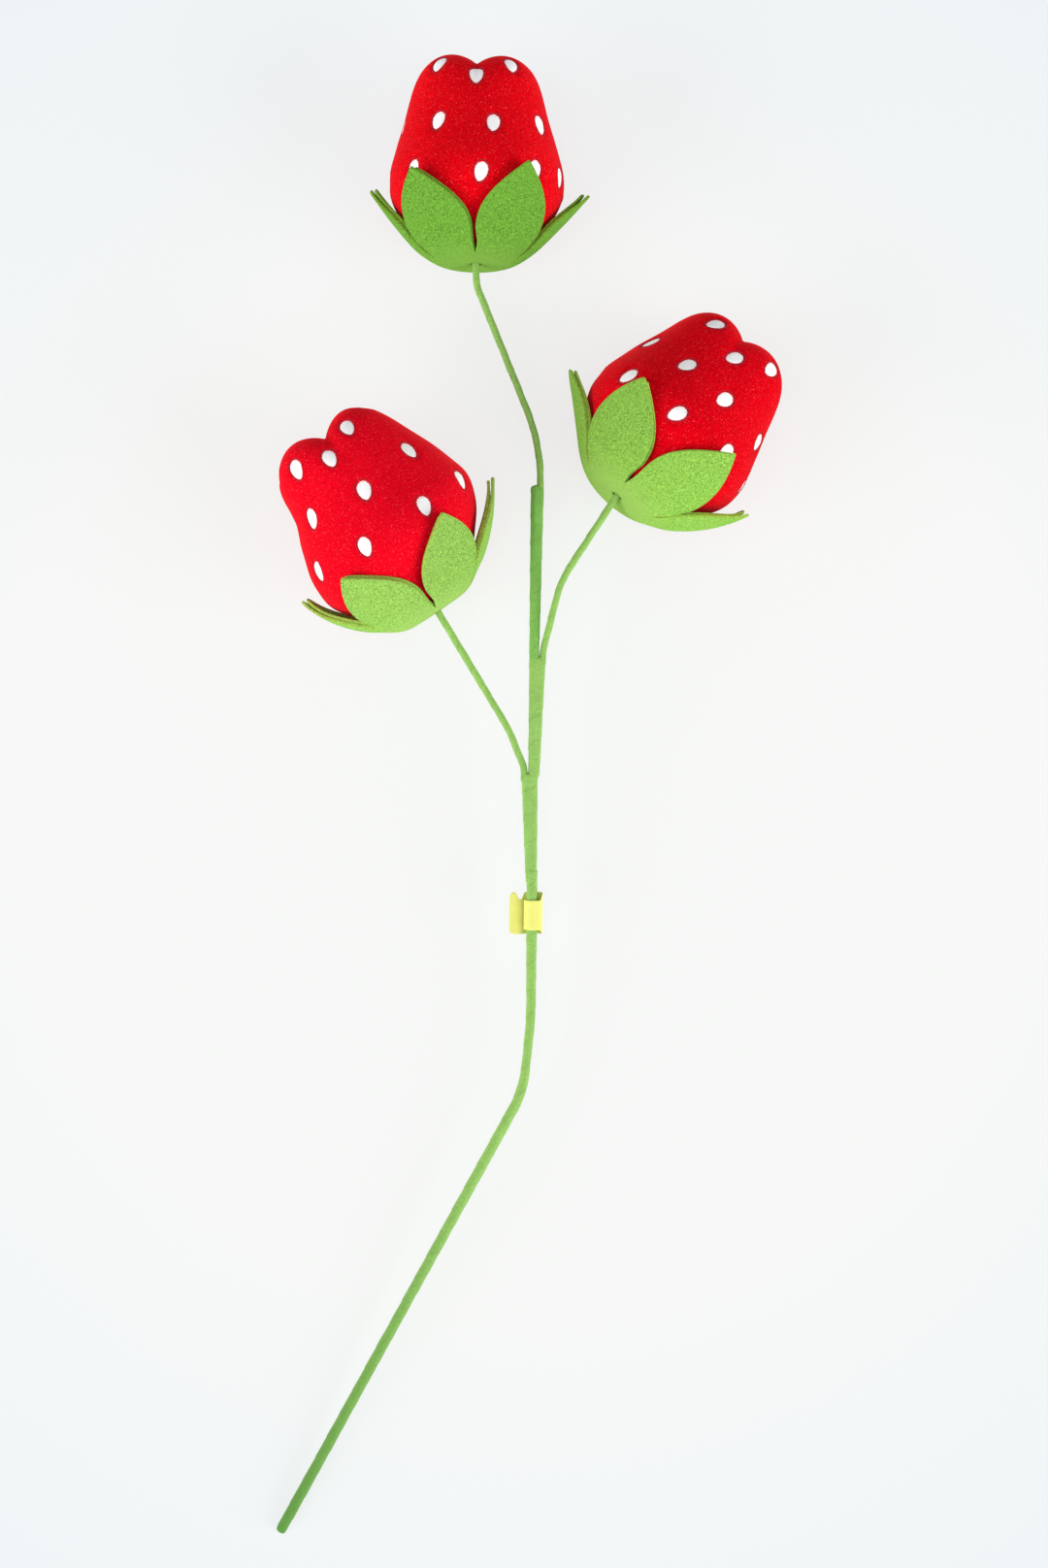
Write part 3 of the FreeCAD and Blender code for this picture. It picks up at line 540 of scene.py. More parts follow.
def build_stem(material):
    """The tape from the folded end at the foot, past the kink, up into the lowest binding."""
    low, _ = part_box("foot_wrap")
    knee = (kink.z - low.z) / foot_way.z - FOOT_RADIUS * math.sqrt(1 / foot_way.z ** 2 - 1)
    foot_end = kink - foot_way * knee
    top = corner + stem_way * (BINDING_BOTTOM + 8 * MM)
    line, distance = route([foot_end, kink, corner, top], [KINK_ROUND, SLOW_ROUND])
    radii = [
        (0, FOOT_RADIUS * 0.94), (9 * MM, FOOT_RADIUS), (0.5 * knee, FOOT_RADIUS * 0.95),
        (0.9 * knee, FOOT_RADIUS * 0.97), (knee, FOOT_RADIUS * 0.92), (knee + 16 * MM, STEM_RADIUS * 0.93),
        (knee + 50 * MM, STEM_RADIUS * 1.04), (knee + KINK_RUN + 26 * MM, STEM_RADIUS * 1.08),
        (knee + KINK_RUN + 38 * MM, STEM_RADIUS * 1.14), (distance[-1], STEM_RADIUS * 1.12),
    ]
    piece = taped_tube("stem_tape_wrap", line, distance, round_section(radii), material, 0.3)
    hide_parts("foot_wrap", "stem_wrap")
    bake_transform(piece)


def build_binding(name, side, bottom, top, offsets, tail_radii, material, seed):
    line, distance = route([corner + stem_way * bottom, corner + stem_way * top], [])
    section = pair_section(side, offsets, tail_radii, distance[-1])
    piece = taped_tube(name + "_tape", line, distance, section, material, seed, around=36)
    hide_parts(name)
    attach(piece, "stem")


def build_bindings(material, upper_material):
    mouths = [along_stem(spot(f"{name}_branch_bend")) - MOUTH_DROP for name in ("left", "right", "top")]
    # the tail's offset from the stem and its radius, each at the binding's bottom and at its mouth
    beside = ((1.2 * MM, 3.75 * MM), (1.55 * MM, 1.45 * MM))
    closer = ((0.3 * MM, 2.15 * MM), (1.85 * MM, 1.5 * MM))
    lap = 3 * MM
    build_binding("lower_binding", -1, BINDING_BOTTOM, mouths[0], *beside, material, 1.1)
    build_binding("middle_binding", 1, mouths[0] - lap, mouths[1], *beside, material, 2.4)
    build_binding("upper_binding", 1, mouths[1] - lap, mouths[2] + 1 * MM, *closer, upper_material, 3.2)


# Each branch: its first heading, the run to its first corner, the run from any second corner to the neck,
# and the radii of the arcs at those corners.
BRANCHES = {
    "left": (22.0, 19.2 * MM, None, [60 * MM]),
    "right": (-14.4, 33.1 * MM, None, [50 * MM]),
    "top": (0.0, 17.4 * MM, 9.1 * MM, [85 * MM, 22 * MM]),
}


def berry_frame(name):
    """A berry's own frame at its neck: X up, Y to the right, Z along the berry towards its tip."""
    neck = spot(f"{name}_berry_sway")
    low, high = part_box(f"{name}_tip_knot")
    axis = ((low + high) / 2 - neck).normalized()
    right = axis.cross(UP).normalized()
    up = right.cross(axis)
    placed = Matrix((up, right, axis)).transposed().to_4x4()
    placed.translation = neck
    return placed


def build_branch(name, placed, material, seed):
    """A branch's tape in two lengths, the first from the binding and the second up to the neck."""
    heading, first_run, last_run, arcs = BRANCHES[name]
    pivot = spot(f"{name}_branch_bend")
    neck = spot(f"{name}_berry_sway")
    right = ahead(heading).cross(UP)
    away = neck - pivot
    climb = (away - right * away.dot(right)).normalized()
    corners = [pivot - stem_way * 7 * MM, pivot, pivot + climb * first_run]
    if last_run:
        corners.append(neck - climb * last_run)
    axis = placed.col[2].xyz
    corners += [neck, neck + axis * 5 * MM]
    line, distance = route(corners, [14 * MM, *arcs, 6 * MM])
    half = len(line) // 2
    overlap = 5
    lower = [(0, BRANCH_RADIUS), (distance[half], BRANCH_RADIUS * 0.98)]
    upper = [(0, BRANCH_RADIUS * 1.08), (6 * MM, BRANCH_RADIUS * 1.02), (distance[half], BRANCH_RADIUS)]
    piece = taped_tube(f"{name}_branch_tape_low", line[:half + overlap], distance[:half + overlap],
                       round_section(lower), material, seed, around=20)
    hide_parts(f"{name}_branch_wrap")
    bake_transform(piece)
    piece = taped_tube(f"{name}_branch_tape_high", line[half:], distance[half:] - distance[half],
                       round_section(upper), material, seed + 0.4, around=20)
    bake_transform(piece)


# ---- berries ----

# half outlines of the cover, (radius, distance along) in millimetres, up over a lobe and down a valley
BODY = [(3.2, 3.1), (11, 3.8), (19, 5.8), (27.2, 12.6), (34.0, 21.0), (38.2, 27.5), (40.2, 34), (39.9, 42),
        (37.4, 51)]
LOBE = BODY + [(35.4, 59), (33.6, 67), (32.3, 75), (30.9, 82.5), (28.4, 88.8), (23.8, 93.6), (18.0, 95.6),
               (12.2, 94.3), (7.2, 91.0), (3.0, 87.2), (0.3, 85.4)]
VALLEY = BODY + [(35.0, 59), (32.7, 67), (30.6, 75), (28.0, 81), (24.6, 85.4), (20.4, 88.4), (15.8, 89.8),
                 (11.2, 89.3), (6.8, 87.8), (3.0, 86.2), (0.3, 85.4)]
AROUND = 96
OUTLINE_STEPS = 58
LOBES = 4
PLEATS = 20
PLEAT_DEPTH = 0.35
# where each change to the outline starts and ends, in millimetres along the berry
GIRTH_RISE = (14, 30)
CROWN_RISE = (60, 92)
SLANT_RISE = (68, 92)
BOW_RISE, BOW_FALL = (20, 50), (64, 90)
BELLY_RISE, BELLY_FALL = (32, 48), (56, 76)
TIP_FROM = 60
PAST_TIP = 110 * MM

# Each berry's own look, in millimetres and degrees.
# seeds: rows of distance along at the front, how much more it is at both sides, how much more on the right,
#     and each seed's turn
# girth, stretch: the cover's size across and along, as shares of the outlines above
# lean: how far the seeds are turned away from the berry's length
# belly, bow: how far both sides stand out at the middle, and how far it is pushed to the right
# slant, crown: how much further the tip reaches on the right, and on its lobes
# twist: the turn of the tip's lobes
# velvet, felt: each berry's colours; their brightness differs from berry to berry as painted light and painted
# shade, for how the light falls on each berry
BERRIES = {
    "top": {
        "seeds": [
            (30, 6, 0, (-129, -88, -45, 4, 43, 75, 120, 162)),
            (52, 6, -0.5, (-160, -118, -77, -29, 13, 56, 98, 140)),
            (76, 11, 0, (-144, -112, -74, -38, 0, 34, 72, 108, 143, 178)),
        ],
        "velvet": (0.72, 0.0010, 0.0060), "felt": (0.132, 0.325, 0.036),
        "girth": 0.965, "stretch": 0.935, "lean": 8.0, "belly": 0.4,
        "slant": 0.0, "bow": 0.0, "crown": -0.6, "twist": 0.0,
    },
    "right": {
        "seeds": [
            (32, 6, 1.5, (-128, -86, -45, -2, 39, 84, 126, 170)),
            (52, 6, -1.5, (-148, -106, -63, -20, 16, 67, 110, 152)),
            (72, 18, 0, (-142, -108, -70, -31, 2, 34, 72, 110, 146, 178)),
        ],
        "velvet": (0.68, 0.0004, 0.0065), "felt": (0.222, 0.440, 0.065),
        "girth": 1.01, "stretch": 0.957, "lean": 30.0, "belly": 0.8,
        "slant": -0.4, "bow": -0.6, "crown": -0.7, "twist": 4.0,
    },
    "left": {
        "seeds": [
            (37.5, 5, -1, (-150, -106, -62, -16, 29, 68, 112, 150)),
            (59, 6, 0.5, (-172, -134, -90, -46, 4, 50, 94, 138)),
            (79, 14, 5, (-144, -108, -70, -34, -4, 25, 64, 102, 140, 176)),
        ],
        "velvet": (0.88, 0.0015, 0.0125), "felt": (0.240, 0.445, 0.080),
        "girth": 1.015, "stretch": 0.985, "lean": 10.0, "belly": 2.0,
        "slant": 0.6, "bow": 3.5, "crown": 1.0, "twist": -4.0,
    },
}


def curve_through(points, steps):
    """Points along a smooth curve through a few points, about evenly spaced."""
    points = np.array(points, float)
    ends = np.vstack([2 * points[0] - points[1], points, 2 * points[-1] - points[-2]])
    fine = []
    for a, b, c, d in zip(ends, ends[1:], ends[2:], ends[3:]):
        for t in np.linspace(0, 1, 24, endpoint=False):
            fine.append(0.5 * (2 * b + (c - a) * t + (2 * a - 5 * b + 4 * c - d) * t ** 2
                               + (3 * b - a - 3 * c + d) * t ** 3))
    fine.append(points[-1])
    return np.array(fine)[np.linspace(0, len(fine) - 1, steps).round().astype(int)]


def cover_points(name):
    """The cover's points, in the berry's own frame: a row round the berry for each step of its outline."""
    berry = BERRIES[name]
    lobe = curve_through(LOBE, OUTLINE_STEPS)
    valley = curve_through(VALLEY, OUTLINE_STEPS)
    turn = np.linspace(0, math.tau, AROUND, endpoint=False)
    high = np.abs(np.sin((turn + math.radians(berry["twist"])) * LOBES / 2)) ** 0.8
    rows = []
    for on_lobe, in_valley in zip(lobe, valley):
        radius = in_valley[0] + (on_lobe[0] - in_valley[0]) * high
        height = in_valley[1] + (on_lobe[1] - in_valley[1]) * high
        gather = 1 - smooth_step(2.0, 11.0, on_lobe[0])
        if on_lobe[1] > TIP_FROM:
            height += PLEAT_DEPTH * gather * np.sin(turn * PLEATS)
        girth = 1 + (berry["girth"] - 1) * smooth_step(*GIRTH_RISE, height)
        height += berry["crown"] * smooth_step(*CROWN_RISE, height) * high
        height += berry["slant"] * smooth_step(*SLANT_RISE, height) * np.sin(turn)
        bow = berry["bow"] * smooth_step(*BOW_RISE, height) * (1 - smooth_step(*BOW_FALL, height))
        belly = berry["belly"] * smooth_step(*BELLY_RISE, height) * (1 - smooth_step(*BELLY_FALL, height))
        across = (radius * girth + belly * np.abs(np.sin(turn))) * np.sin(turn) + bow
        rows.append(np.stack([radius * girth * np.cos(turn), across, height * berry["stretch"]], 1))
    return np.concatenate(rows)


PUFF_STEPS = 20
PUFF_REACH = 1.2 * MM


def puff(piece, held):
    """Fills a cover with air as cloth. held is how firmly each point stays in its place."""
    before = points_of(piece)
    group = piece.vertex_groups.new(name="held")
    for index, share in enumerate(held):
        if share > 0:
            group.add([index], float(share), "REPLACE")
    cloth = modifier(piece, "CLOTH").settings
    cloth.quality = 6
    cloth.mass = 0.15
    cloth.tension_stiffness = 14
    cloth.compression_stiffness = 14
    cloth.bending_stiffness = 1.2
    cloth.use_pressure = True
    cloth.uniform_pressure_force = 4
    cloth.effector_weights.gravity = 0
    cloth.vertex_group_mass = "held"
    scene = bpy.context.scene
    for step in range(PUFF_STEPS):
        scene.frame_set(step + 1)
    settle(piece)
    piece.vertex_groups.clear()
    scene.frame_set(1)
    move = points_of(piece) - before
    reach = np.linalg.norm(move, axis=1)
    share = np.minimum(1, PUFF_REACH / np.maximum(reach, 1e-9))
    set_points(piece, before + move * share[:, None])


# the row nearest the tip starts past this, and has one dip all along the underside
LAST_ROW = 70
LAST_ROW_DIP = 0.75
# the leaf under the berry covers what is past this turn and short of this distance along
PRESSED_TURN = 140
PRESSED_END = 48


def seed_places(name):
    """Each seed's distance along the berry and turn round it, where the pressed leaf leaves it free."""
    places = []
    for along, dip, drift, turns in BERRIES[name]["seeds"]:
        for turn in turns:
            round_it = math.sin(math.radians(turn))
            level = along + dip * abs(round_it) + drift * round_it
            if abs(turn) > 90 and along > LAST_ROW:
                level = along + dip * LAST_ROW_DIP
            if abs(turn) < PRESSED_TURN or level > PRESSED_END:
                places.append((level, turn))
    return places


SEED_WIDTH = 6.9 * MM
SEED_LENGTH = 10.0 * MM
SEED_SINK = 0.60 * MM
SEED_DOME = 0.42 * MM
SEED_ROOT = 0.25 * MM
SEED_RIM = 0.15 * MM
THREADS = 17
THREAD_DEPTH = 0.05 * MM
SEED_COLUMNS = 11
OUTSIDE = 70 * MM


def on_surface(tree, placed, along, turn):
    """The point and normal of the cover at a turn round the berry, as far along as it reaches there."""
    turn = math.radians(turn)
    inward = placed.to_3x3() @ Vector((-math.cos(turn), -math.sin(turn), 0))
    hit = None
    while hit is None:
        outside = Vector((math.cos(turn) * OUTSIDE, math.sin(turn) * OUTSIDE, along * MM))
        hit, normal, _, _ = tree.ray_cast(placed @ outside, inward)
        along -= 3
    if normal.dot(inward) > 0:
        normal = -normal
    return hit, normal


def seed_half(along):
    """Half the width of a seed, as a share, along its length: it is narrower towards the calyx."""
    return math.sqrt(max(0.0, 1 - along ** 2)) * (1 + 0.20 * along)


def build_seeds(name, placed, tree, spots, material, shadow_ring_material):
    """Raised satin stitches: threads laid side by side over a small drop shape, ringed by a dark tube of painted
    shadow where the pile meets the stitches.
    """
    rows = THREADS * 3
    points, faces, shadow_rings = [], [], []
    axis = placed.col[2].xyz
    chance = random.Random(name + "_seeds")
    for centre, normal in spots:
        length_way = (axis - normal * axis.dot(normal)).normalized()
        lean = chance.uniform(-7, 7) - BERRIES[name]["lean"]
        length_way.rotate(Matrix.Rotation(math.radians(lean), 3, normal))
        width_way = normal.cross(length_way)
        size = chance.uniform(0.95, 1.05)

        def laid(along, across):
            flat = centre + length_way * (along * SEED_LENGTH / 2 * size)
            flat += width_way * (across * SEED_WIDTH / 2 * size)
            return tree.ray_cast(flat + normal * 4 * MM, -normal)[0] or flat

        start = len(points)
        for i in range(rows):
            along = -1 + 2 * i / (rows - 1)
            ragged = 1 + 0.025 * math.sin(i // 3 * 2.4 + centre.x * 900)
            half = seed_half(along) * ragged
            for across in np.linspace(-1, 1, SEED_COLUMNS):
                reach = min(1.0, along ** 2 + across ** 2 * (1 - along ** 2))
                dome = SEED_DOME * (1 - reach ** 3) - SEED_ROOT
                ridge = THREAD_DEPTH * (1 if i % 3 == 1 else -1) * (1 - abs(across) ** 6)
                points.append(laid(along, across * half) + normal * (dome + ridge))
        faces += grid_faces(rows, SEED_COLUMNS, False, start)
        # painted shadow: a dark ring round each seed, where the pile meets the stitches
        ring = []
        for turn in np.linspace(0, math.tau, 33):
            along = math.cos(turn)
            side = math.copysign(seed_half(along), math.sin(turn))
            ring.append(laid(along * 1.04, side * 1.05) + normal * 0.05 * MM)
        shadow_rings.append(ring)
    plain = len(faces)
    for ring in shadow_rings:
        add_thin_tube(points, faces, ring, SEED_RIM, 6)
    piece = new_piece(f"{name}_stitched_seeds", points, faces, material)
    piece.data.materials.append(shadow_ring_material)
    for face in piece.data.polygons[plain:]:
        face.material_index = 1
    merge_points(piece, 0.02 * MM)
    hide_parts(f"{name}_berry_seeds")
    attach(piece, f"{name}_berry")


def tree_of(piece):
    bpy.context.view_layer.update()
    return BVHTree.FromObject(piece, bpy.context.evaluated_depsgraph_get())


COVER_LUMP = 0.55 * MM
STUFFING_DEPTH = 1.25 * MM


def build_cover(name, placed, material, fill_material):
    """The velvet cover, its stuffing, and the places where its seeds are stitched."""
    local = cover_points(name)
    points = [placed @ (Vector(point) * MM) for point in local]
    faces = grid_faces(OUTLINE_STEPS, AROUND, True)
    faces.append(tuple(range(len(local) - AROUND, len(local))))
    faces.append(tuple(range(AROUND))[::-1])
    cover = new_piece(f"{name}_velvet_cover", points, faces, material)
    lumpy = COVER_LUMP * lumps(points_of(cover), 42.0, len(name)) * smooth_step(16, 34, local[:, 2])
    radius = np.hypot(local[:, 0], local[:, 1])
    at_tip = (local[:, 2] > TIP_FROM) * (1 - smooth_step(5, 12, radius))
    lumpy *= 1 - at_tip
    set_points(cover, points_of(cover) + normals_of(cover) * lumpy[:, None])
    at_base = 1 - smooth_step(15, 27, local[:, 2])
    puff(cover, np.maximum(at_base, at_tip))
    modifier(cover, "SUBSURF", levels=1, render_levels=1)
    settle(cover)
    stuffing = new_piece(f"{name}_stuffing", points_of(cover) - normals_of(cover) * STUFFING_DEPTH,
                         [tuple(face.vertices) for face in cover.data.polygons], fill_material)
    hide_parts(f"{name}_berry_filling")
    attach(stuffing, f"{name}_berry")

    tree = tree_of(cover)
    spots = [on_surface(tree, placed, *place) for place in seed_places(name)]
    axis = np.array(placed.col[2].xyz)
    moved = points_of(cover)
    inward = normals_of(cover)
    sink = np.zeros(len(moved))
    for centre, normal in spots:
        away = moved - np.array(centre)
        lengthwise = axis - np.array(normal) * (axis @ np.array(normal))
        lengthwise /= np.linalg.norm(lengthwise)
        widthwise = np.cross(np.array(normal), lengthwise)
        reach = np.hypot(away @ lengthwise / (SEED_LENGTH / 2), away @ widthwise / (SEED_WIDTH / 2))
        near = (1 - smooth_step(0.98, 1.30, reach)) * (np.linalg.norm(away, axis=1) < 9 * MM)
        sink = np.maximum(sink, near)
    set_points(cover, moved - inward * (sink * SEED_SINK)[:, None])
    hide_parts(f"{name}_berry_cover")
    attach(cover, f"{name}_berry")
    return cover, spots


def add_thin_tube(points, faces, line, radius, around=7):
    """Adds a thin tube along a few points to a piece's points and faces, for the tip's threads and for the painted
    shadow round each seed.
    """
    start = len(points)
    line = np.array(line, float)
    along = unit(np.gradient(line, axis=0))
    side = unit(np.cross(along, np.array([0.31, 0.52, 0.79])))
    up = np.cross(side, along)
    turn = np.linspace(0, math.tau, around, endpoint=False)
    for centre, across, above in zip(line, side, up):
        points += [centre + radius * (math.cos(a) * across + math.sin(a) * above) for a in turn]
    faces += [tuple(index + start for index in face) for face in tube_faces(len(line), around)]


def build_tip_stitch(name, placed, tree, material):
    """The thread that gathers the tip: stitches down each valley, and a wound knot in the middle."""
    points, faces = [], []
    axis = placed.col[2].xyz
    twist = math.radians(BERRIES[name]["twist"])
    for k in range(LOBES):
        turn = math.tau * k / LOBES - twist
        line = []
        for share in np.linspace(0, 1, 9):
            out = (0.3 + 6.2 * share) * MM
            above = placed @ Vector((math.cos(turn) * out, math.sin(turn) * out, PAST_TIP))
            hit = tree.ray_cast(above, -axis)[0]
            line.append(hit + axis * (0.15 + 0.45 * math.sin(math.pi * share)) * MM)
        line[-1] -= axis * 0.8 * MM
        add_thin_tube(points, faces, line, 0.28 * MM)
    low = tree.ray_cast(placed @ Vector((0.6 * MM, 0, PAST_TIP)), -axis)[0]
    for k in range(3):
        ring = []
        for share in np.linspace(0, 1, 17):
            turn = math.tau * share + k
            local = Vector((math.cos(turn), math.sin(turn) * 0.9, 0)) * (1.15 - 0.2 * k) * MM
            local.z = (0.35 + 0.4 * k + 0.15 * math.sin(turn * 2)) * MM
            ring.append(low + placed.to_3x3() @ local)
        add_thin_tube(points, faces, ring, 0.3 * MM)
    piece = new_piece(f"{name}_tip_stitch", points, faces, material)
    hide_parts(f"{name}_tip_knot")
    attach(piece, f"{name}_berry")


# ---- felt calyx ----

# lengths in millimetres, on the flat star or from the neck
FELT = 1.2
FELT_GAP = 0.12
NECK_HOLE = 2.3
LEAF_SPACING = 72.0
LEAF_HALF = math.radians(LEAF_SPACING / 2)
NOTCH = 18.5
LEAF_LENGTH = 64.5
LEAF_HALF_WIDTH = 16.9
LEAF_ROWS = 46
LEAF_COLUMNS = 19
# the radius of a leaf's bend across its width, and where the leaves have left the star's shared bowl
HUG_ARC = 50.0
BOWL_END = 34
# how much shorter the inner star's leaves are, and how far it is turned
INNER_SHORTER = 1.2
INNER_TURN = 1.3
# painted light: the felt is pale up to the first distance from the neck, and has its own colour past the second
PALE_END = 8 * MM
OWN_COLOUR = 30 * MM

# Each leaf of the star, by its turn in the flat blank: its turn on the berry, its reach from the neck, its
# sideways sway at the tip, and the slope of its middle line, in degrees, at the distances of SLOPE_AT.
# BOWL has the slopes of the bowl that the leaves share near the neck.
SLOPE_AT = [0, 12, 20, 32, 67]
LINE_END = 70.0
LEAVES = {
    "top": {
        -36: (-36, 61.5, 0.0, (-9, 1, 28, 49, 58)), 36: (33, 63.0, -2.0, (-9, 1, 29, 52, 62)),
        108: (102, 65.5, 0.0, (-9, 1, 29, 45, 51)), 252: (258, 65.0, 0.0, (-9, 1, 27, 48, 58)),
        180: (180, 57.0, 0.0, (-9, 1, 25, 46, 81)),
    },
    "right": {
        -36: (-31, 63.5, 1.5, (-9, 1, 27, 51, 64)), 36: (37, 65.0, 0.0, (-9, 1, 29, 50, 59)),
        108: (97, 67.0, 0.0, (-9, 1, 25, 38, 68)), 252: (261, 67.0, 0.0, (-9, 1, 31, 45, 44)),
        180: (180, 57.0, 0.0, (-9, 1, 25, 46, 81)),
    },
    "left": {
        -36: (-36, 61.5, 0.0, (-5, 2, 28, 50, 60)), 36: (33, 61.5, -1.0, (-5, 2, 27, 48, 58)),
        108: (92, 68.5, 0.0, (-5, 2, 27, 36, 60)), 252: (264, 67.0, 0.0, (-5, 2, 28, 38, 76)),
        180: (180, 57.0, 0.0, (-5, 2, 25, 46, 81)),
    },
}
BOWL = {"top": (-9, 1, 29, 48, 57), "right": (-9, 1, 29, 47, 58), "left": (-5, 2, 28, 46, 60)}


def half_width(along, length):
    """Half the width of a leaf blank at a distance from the neck."""
    start = NOTCH * math.cos(LEAF_HALF)
    first = NOTCH * math.sin(LEAF_HALF)
    share = (along - start) / (length - start)
    widest = 0.43
    if share <= 0:
        return along * math.tan(LEAF_HALF)
    if share < widest:
        grown = float(smooth_step(-0.5 * widest, widest, share) - 0.26)
        return first + (LEAF_HALF_WIDTH - first) * grown / 0.74
    fall = (share - widest) / (1 - widest)
    return LEAF_HALF_WIDTH * max(0.0, math.cos(math.pi / 2 * fall)) ** 0.88


def leaf_line(slopes):
    """Functions for a leaf's middle line: radius, distance along the berry, and slope, by arc length."""
    steps = np.linspace(0, LINE_END, 281)
    slope = np.radians(np.interp(steps, SLOPE_AT, slopes))
    gap = steps[1] - steps[0]
    radius = np.concatenate([[0], np.cumsum(np.cos(slope[:-1]) * gap)])
    rise = np.concatenate([[0], np.cumsum(np.sin(slope[:-1]) * gap)])

    def at(along):
        return [float(np.interp(along, steps, values)) for values in (radius, rise, slope)]
    return at


def felt_point(bowl_at, leaf_at, along, across, lift, flat_turn, turn):
    """A point of a leaf, in the berry's own frame. It lies on the star's shared bowl near the neck, and
    bends round its own middle line further out. lift moves it towards the berry."""
    reach = math.hypot(along, across)
    radius, rise, slope = bowl_at(reach)
    radius -= math.sin(slope) * lift
    rise += math.cos(slope) * lift
    bearing = flat_turn + math.atan2(across, along)
    bowl = np.array([radius * math.cos(bearing), radius * math.sin(bearing), rise])
    radius, rise, slope = leaf_at(along)
    lean = across / HUG_ARC
    inward = lift + HUG_ARC * (1 - math.cos(lean))
    radius -= math.sin(slope) * inward
    rise += math.cos(slope) * inward
    side = (HUG_ARC - lift) * math.sin(lean)
    leaf = np.array([radius * math.cos(turn) - side * math.sin(turn),
                     radius * math.sin(turn) + side * math.cos(turn), rise])
    share = float(smooth_step(NOTCH, BOWL_END, reach))
    return bowl * (1 - share) + leaf * share


def build_calyx_layer(name, layer, placed, material, edge_material):
    """One felt star. The inner one is a little smaller and turned, so that both cut edges show."""
    inner = layer == "inner"
    chance = random.Random(name + layer)
    lift = FELT / 2 + (FELT + FELT_GAP if inner else 0)
    points, faces = [], []
    bowl_at = leaf_line(BOWL[name])
    for degrees, (turned, length, swing, slopes) in LEAVES[name].items():
        pressed = degrees == 180
        length -= INNER_SHORTER if inner else 0
        at = leaf_line(slopes)
        twist = INNER_TURN if inner else 0.0
        flat_turn = math.radians(degrees + twist)
        turn = math.radians(turned + twist)
        part = chance.uniform(0.4, 1.0) if inner and not pressed else 0.0
        ripple = 0.0 if pressed else chance.uniform(-0.5, 0.5)
        sway = swing + (chance.uniform(-0.5, 0.5) if inner else 0)
        start = len(points)
        for along in np.linspace(NECK_HOLE, length, LEAF_ROWS):
            out = max(0.0, (along - NOTCH) / (length - NOTCH))
            for share in np.linspace(-1, 1, LEAF_COLUMNS):
                across = share * half_width(along, length) + sway * out ** 2
                raised = lift + part * out ** 2.5 + ripple * out * share
                local = felt_point(bowl_at, at, along, across, raised, flat_turn, turn)
                points.append(placed @ (Vector(local) * MM))
        faces += grid_faces(LEAF_ROWS, LEAF_COLUMNS, False, start)
    piece = new_piece(f"{name}_calyx_{layer}_felt", points, faces, material)
    piece.data.materials.append(edge_material)
    merge_points(piece, 0.05 * MM)
    modifier(piece, "SOLIDIFY", thickness=FELT * MM, offset=0.0, use_even_offset=False,
             use_rim=True, material_offset_rim=1)
    modifier(piece, "BEVEL", width=0.28 * MM, segments=2, limit_method="ANGLE", angle_limit=math.radians(50))
    settle(piece)
    piece.data.polygons.foreach_set("use_smooth", [True] * len(piece.data.polygons))
    piece.data.set_sharp_from_angle(angle=math.radians(50))
    # painted light: the felt is paler near the neck
    from_neck = np.linalg.norm(points_of(piece) - np.array(placed.translation), axis=1)
    give(piece, "pale", "FLOAT", 1 - smooth_step(PALE_END, OWN_COLOUR, from_neck))
    length = LEAF_LENGTH * (1 + math.cos(LEAF_HALF))
    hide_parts(f"{name}_calyx_{layer}")
    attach(piece, f"{name}_berry")


def build_berry(name, materials, seed):
    placed = berry_frame(name)
    build_branch(name, placed, materials["branch_tape"], seed)
    berry = BERRIES[name]
    red = velvet(f"{name}_velvet", berry["velvet"])
    leaf = berry["felt"]
    green = felt(f"{name}_felt", leaf)
    cut = felt(f"{name}_felt_edge", (leaf[0] * 1.4, leaf[1] * 1.12, leaf[2]), 1.10)
    cover, spots = build_cover(name, placed, red, materials["stuffing"])
    tree = tree_of(cover)
    build_seeds(name, placed, tree, spots, materials["stitching"], materials["rim"])
    build_tip_stitch(name, placed, tree, materials["thread"])
    for layer in ("inner", "outer"):
        build_calyx_layer(name, layer, placed, green, cut)


# ---- label ----

PAPER = 0.14 * MM
LABEL_STEPS = 140
LABEL_COLUMNS = 29


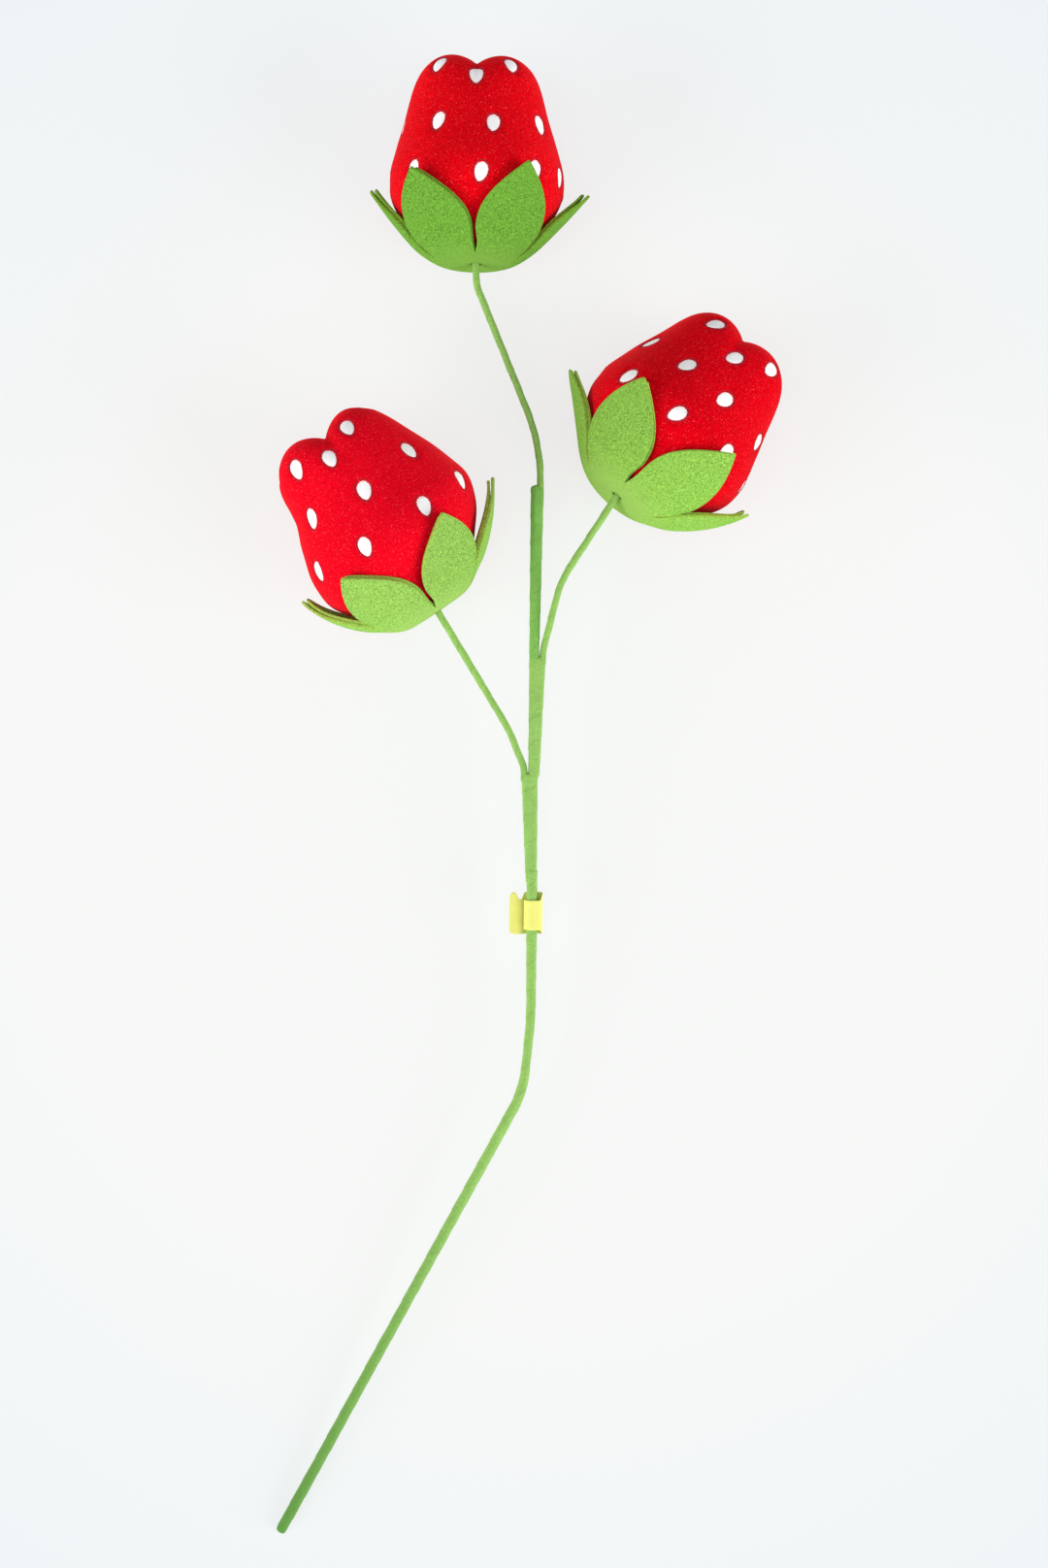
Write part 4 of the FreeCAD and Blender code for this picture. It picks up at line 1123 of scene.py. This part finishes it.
def build_label(material):
    """A die-cut paper tag: a wide flag that passes behind the stem, and a strap folded back over it."""
    at = spot("label_turn")
    right = stem_way.cross(UP).normalized()
    up = right.cross(stem_way)
    # across, up, and how far the paper goes up and down the stem, in millimetres, from the flag's end
    course = [
        (-10.1, 0.35, 7.2, 7.6), (-9.5, 0.25, 8.9, 9.0), (-8.2, 0.0, 9.5, 9.45), (-7.0, -0.25, 8.7, 9.5),
        (-5.8, -0.5, 6.5, 9.5), (-4.9, -0.8, 6.3, 9.5), (-3.9, -1.2, 8.2, 9.5), (-3.1, -1.75, 9.4, 9.4),
        (-0.6, -2.75, 9.5, 9.4), (1.6, -2.9, 9.5, 9.4), (3.4, -2.4, 9.5, 9.4), (4.5, -1.2, 9.5, 9.3),
        (4.75, 0.0, 9.3, 9.1), (4.45, 1.1, 8.0, 8.5), (3.8, 1.75, 6.3, 7.5), (3.0, 2.25, 6.1, 7.3),
        (1.2, 2.80, 6.1, 7.3), (-0.8, 2.80, 6.1, 7.3), (-2.35, 1.90, 6.1, 7.3), (-3.1, 0.2, 6.1, 7.3),
        (-3.6, -0.35, 6.1, 7.3),
    ]
    fine = curve_through(course, LABEL_STEPS)
    points = []
    for x, y, above, below in fine:
        for share in np.linspace(-1, 1, LABEL_COLUMNS):
            curl = 0.18 * share ** 2 * smooth_step(-4, -9, x)
            along = share * (above if share > 0 else below)
            points.append(at + right * x * MM + up * (y + float(curl)) * MM + stem_way * along * MM)
    piece = new_piece("paper_label", points, grid_faces(len(fine), LABEL_COLUMNS, False), material)
    modifier(piece, "SOLIDIFY", thickness=PAPER, offset=0.0)
    settle(piece)
    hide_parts("label")
    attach(piece, "label")


# ---- all together ----

def finish_cad_nodes(materials):
    """Gives the wires and glue that stay as CAD parts their own materials."""
    for name, node in frame["nodes"].items():
        material = materials["glue" if name.endswith("glue_disc") else "wire"]
        if not node.material_slots:
            node.data.materials.append(material)
        for slot in node.material_slots:
            slot.material = material


def build_stage():
    bpy.context.scene.view_settings.view_transform = "Standard"
    bpy.context.scene.view_settings.look = "None"
    world = bpy.data.worlds.new("studio")
    world.use_nodes = True
    background = world.node_tree.nodes["Background"]
    background.inputs["Color"].default_value = (0.985, 0.99, 1.0, 1)
    background.inputs["Strength"].default_value = DOME_STRENGTH
    bpy.context.scene.world = world
    half = FLOOR_SIZE / 2
    corners = [(-half, -half, 0), (half, -half, 0), (half, half, 0), (-half, half, 0)]
    floor = new_piece("floor", corners, [(0, 1, 2, 3)], floor_material())
    build_lights()


build_camera()
build_stage()
green_tape = (0.280, 0.516, 0.113)
shared = {
    "stem_tape": tape("stem_crepe_tape", green_tape),
    "upper_tape": tape("upper_crepe_tape", (0.198, 0.452, 0.080)),
    "branch_tape": tape("branch_crepe_tape", (0.262, 0.485, 0.100)),
    "stitching": stitching("white_thread", (0.99, 0.97, 0.99)),
    # painted shadow: the dark ring round each seed
    "rim": soft_fill("seed_painted_shadow_ring", (0.22, 0.015, 0.035), 1500, 0.8, 0.0001),
    "thread": soft_fill("red_thread", (0.45, 0.012, 0.018), 1800, 0.6, 0.0001),
    "stuffing": soft_fill("polyester_stuffing", (0.85, 0.85, 0.83), 700, 0.95, 0.0004),
    "glue": soft_fill("hot_glue", (0.80, 0.78, 0.70), 240, 0.3, 0.0001),
    "wire": metal_wire("enamelled_wire"),
}
build_stem(shared["stem_tape"])
build_bindings(shared["stem_tape"], shared["upper_tape"])
build_label(paper("yellow_paper", (0.80, 0.795, 0.190)))
for number, berry_name in enumerate(BERRIES):
    build_berry(berry_name, shared, 4.0 + 1.7 * number)
finish_cad_nodes(shared)
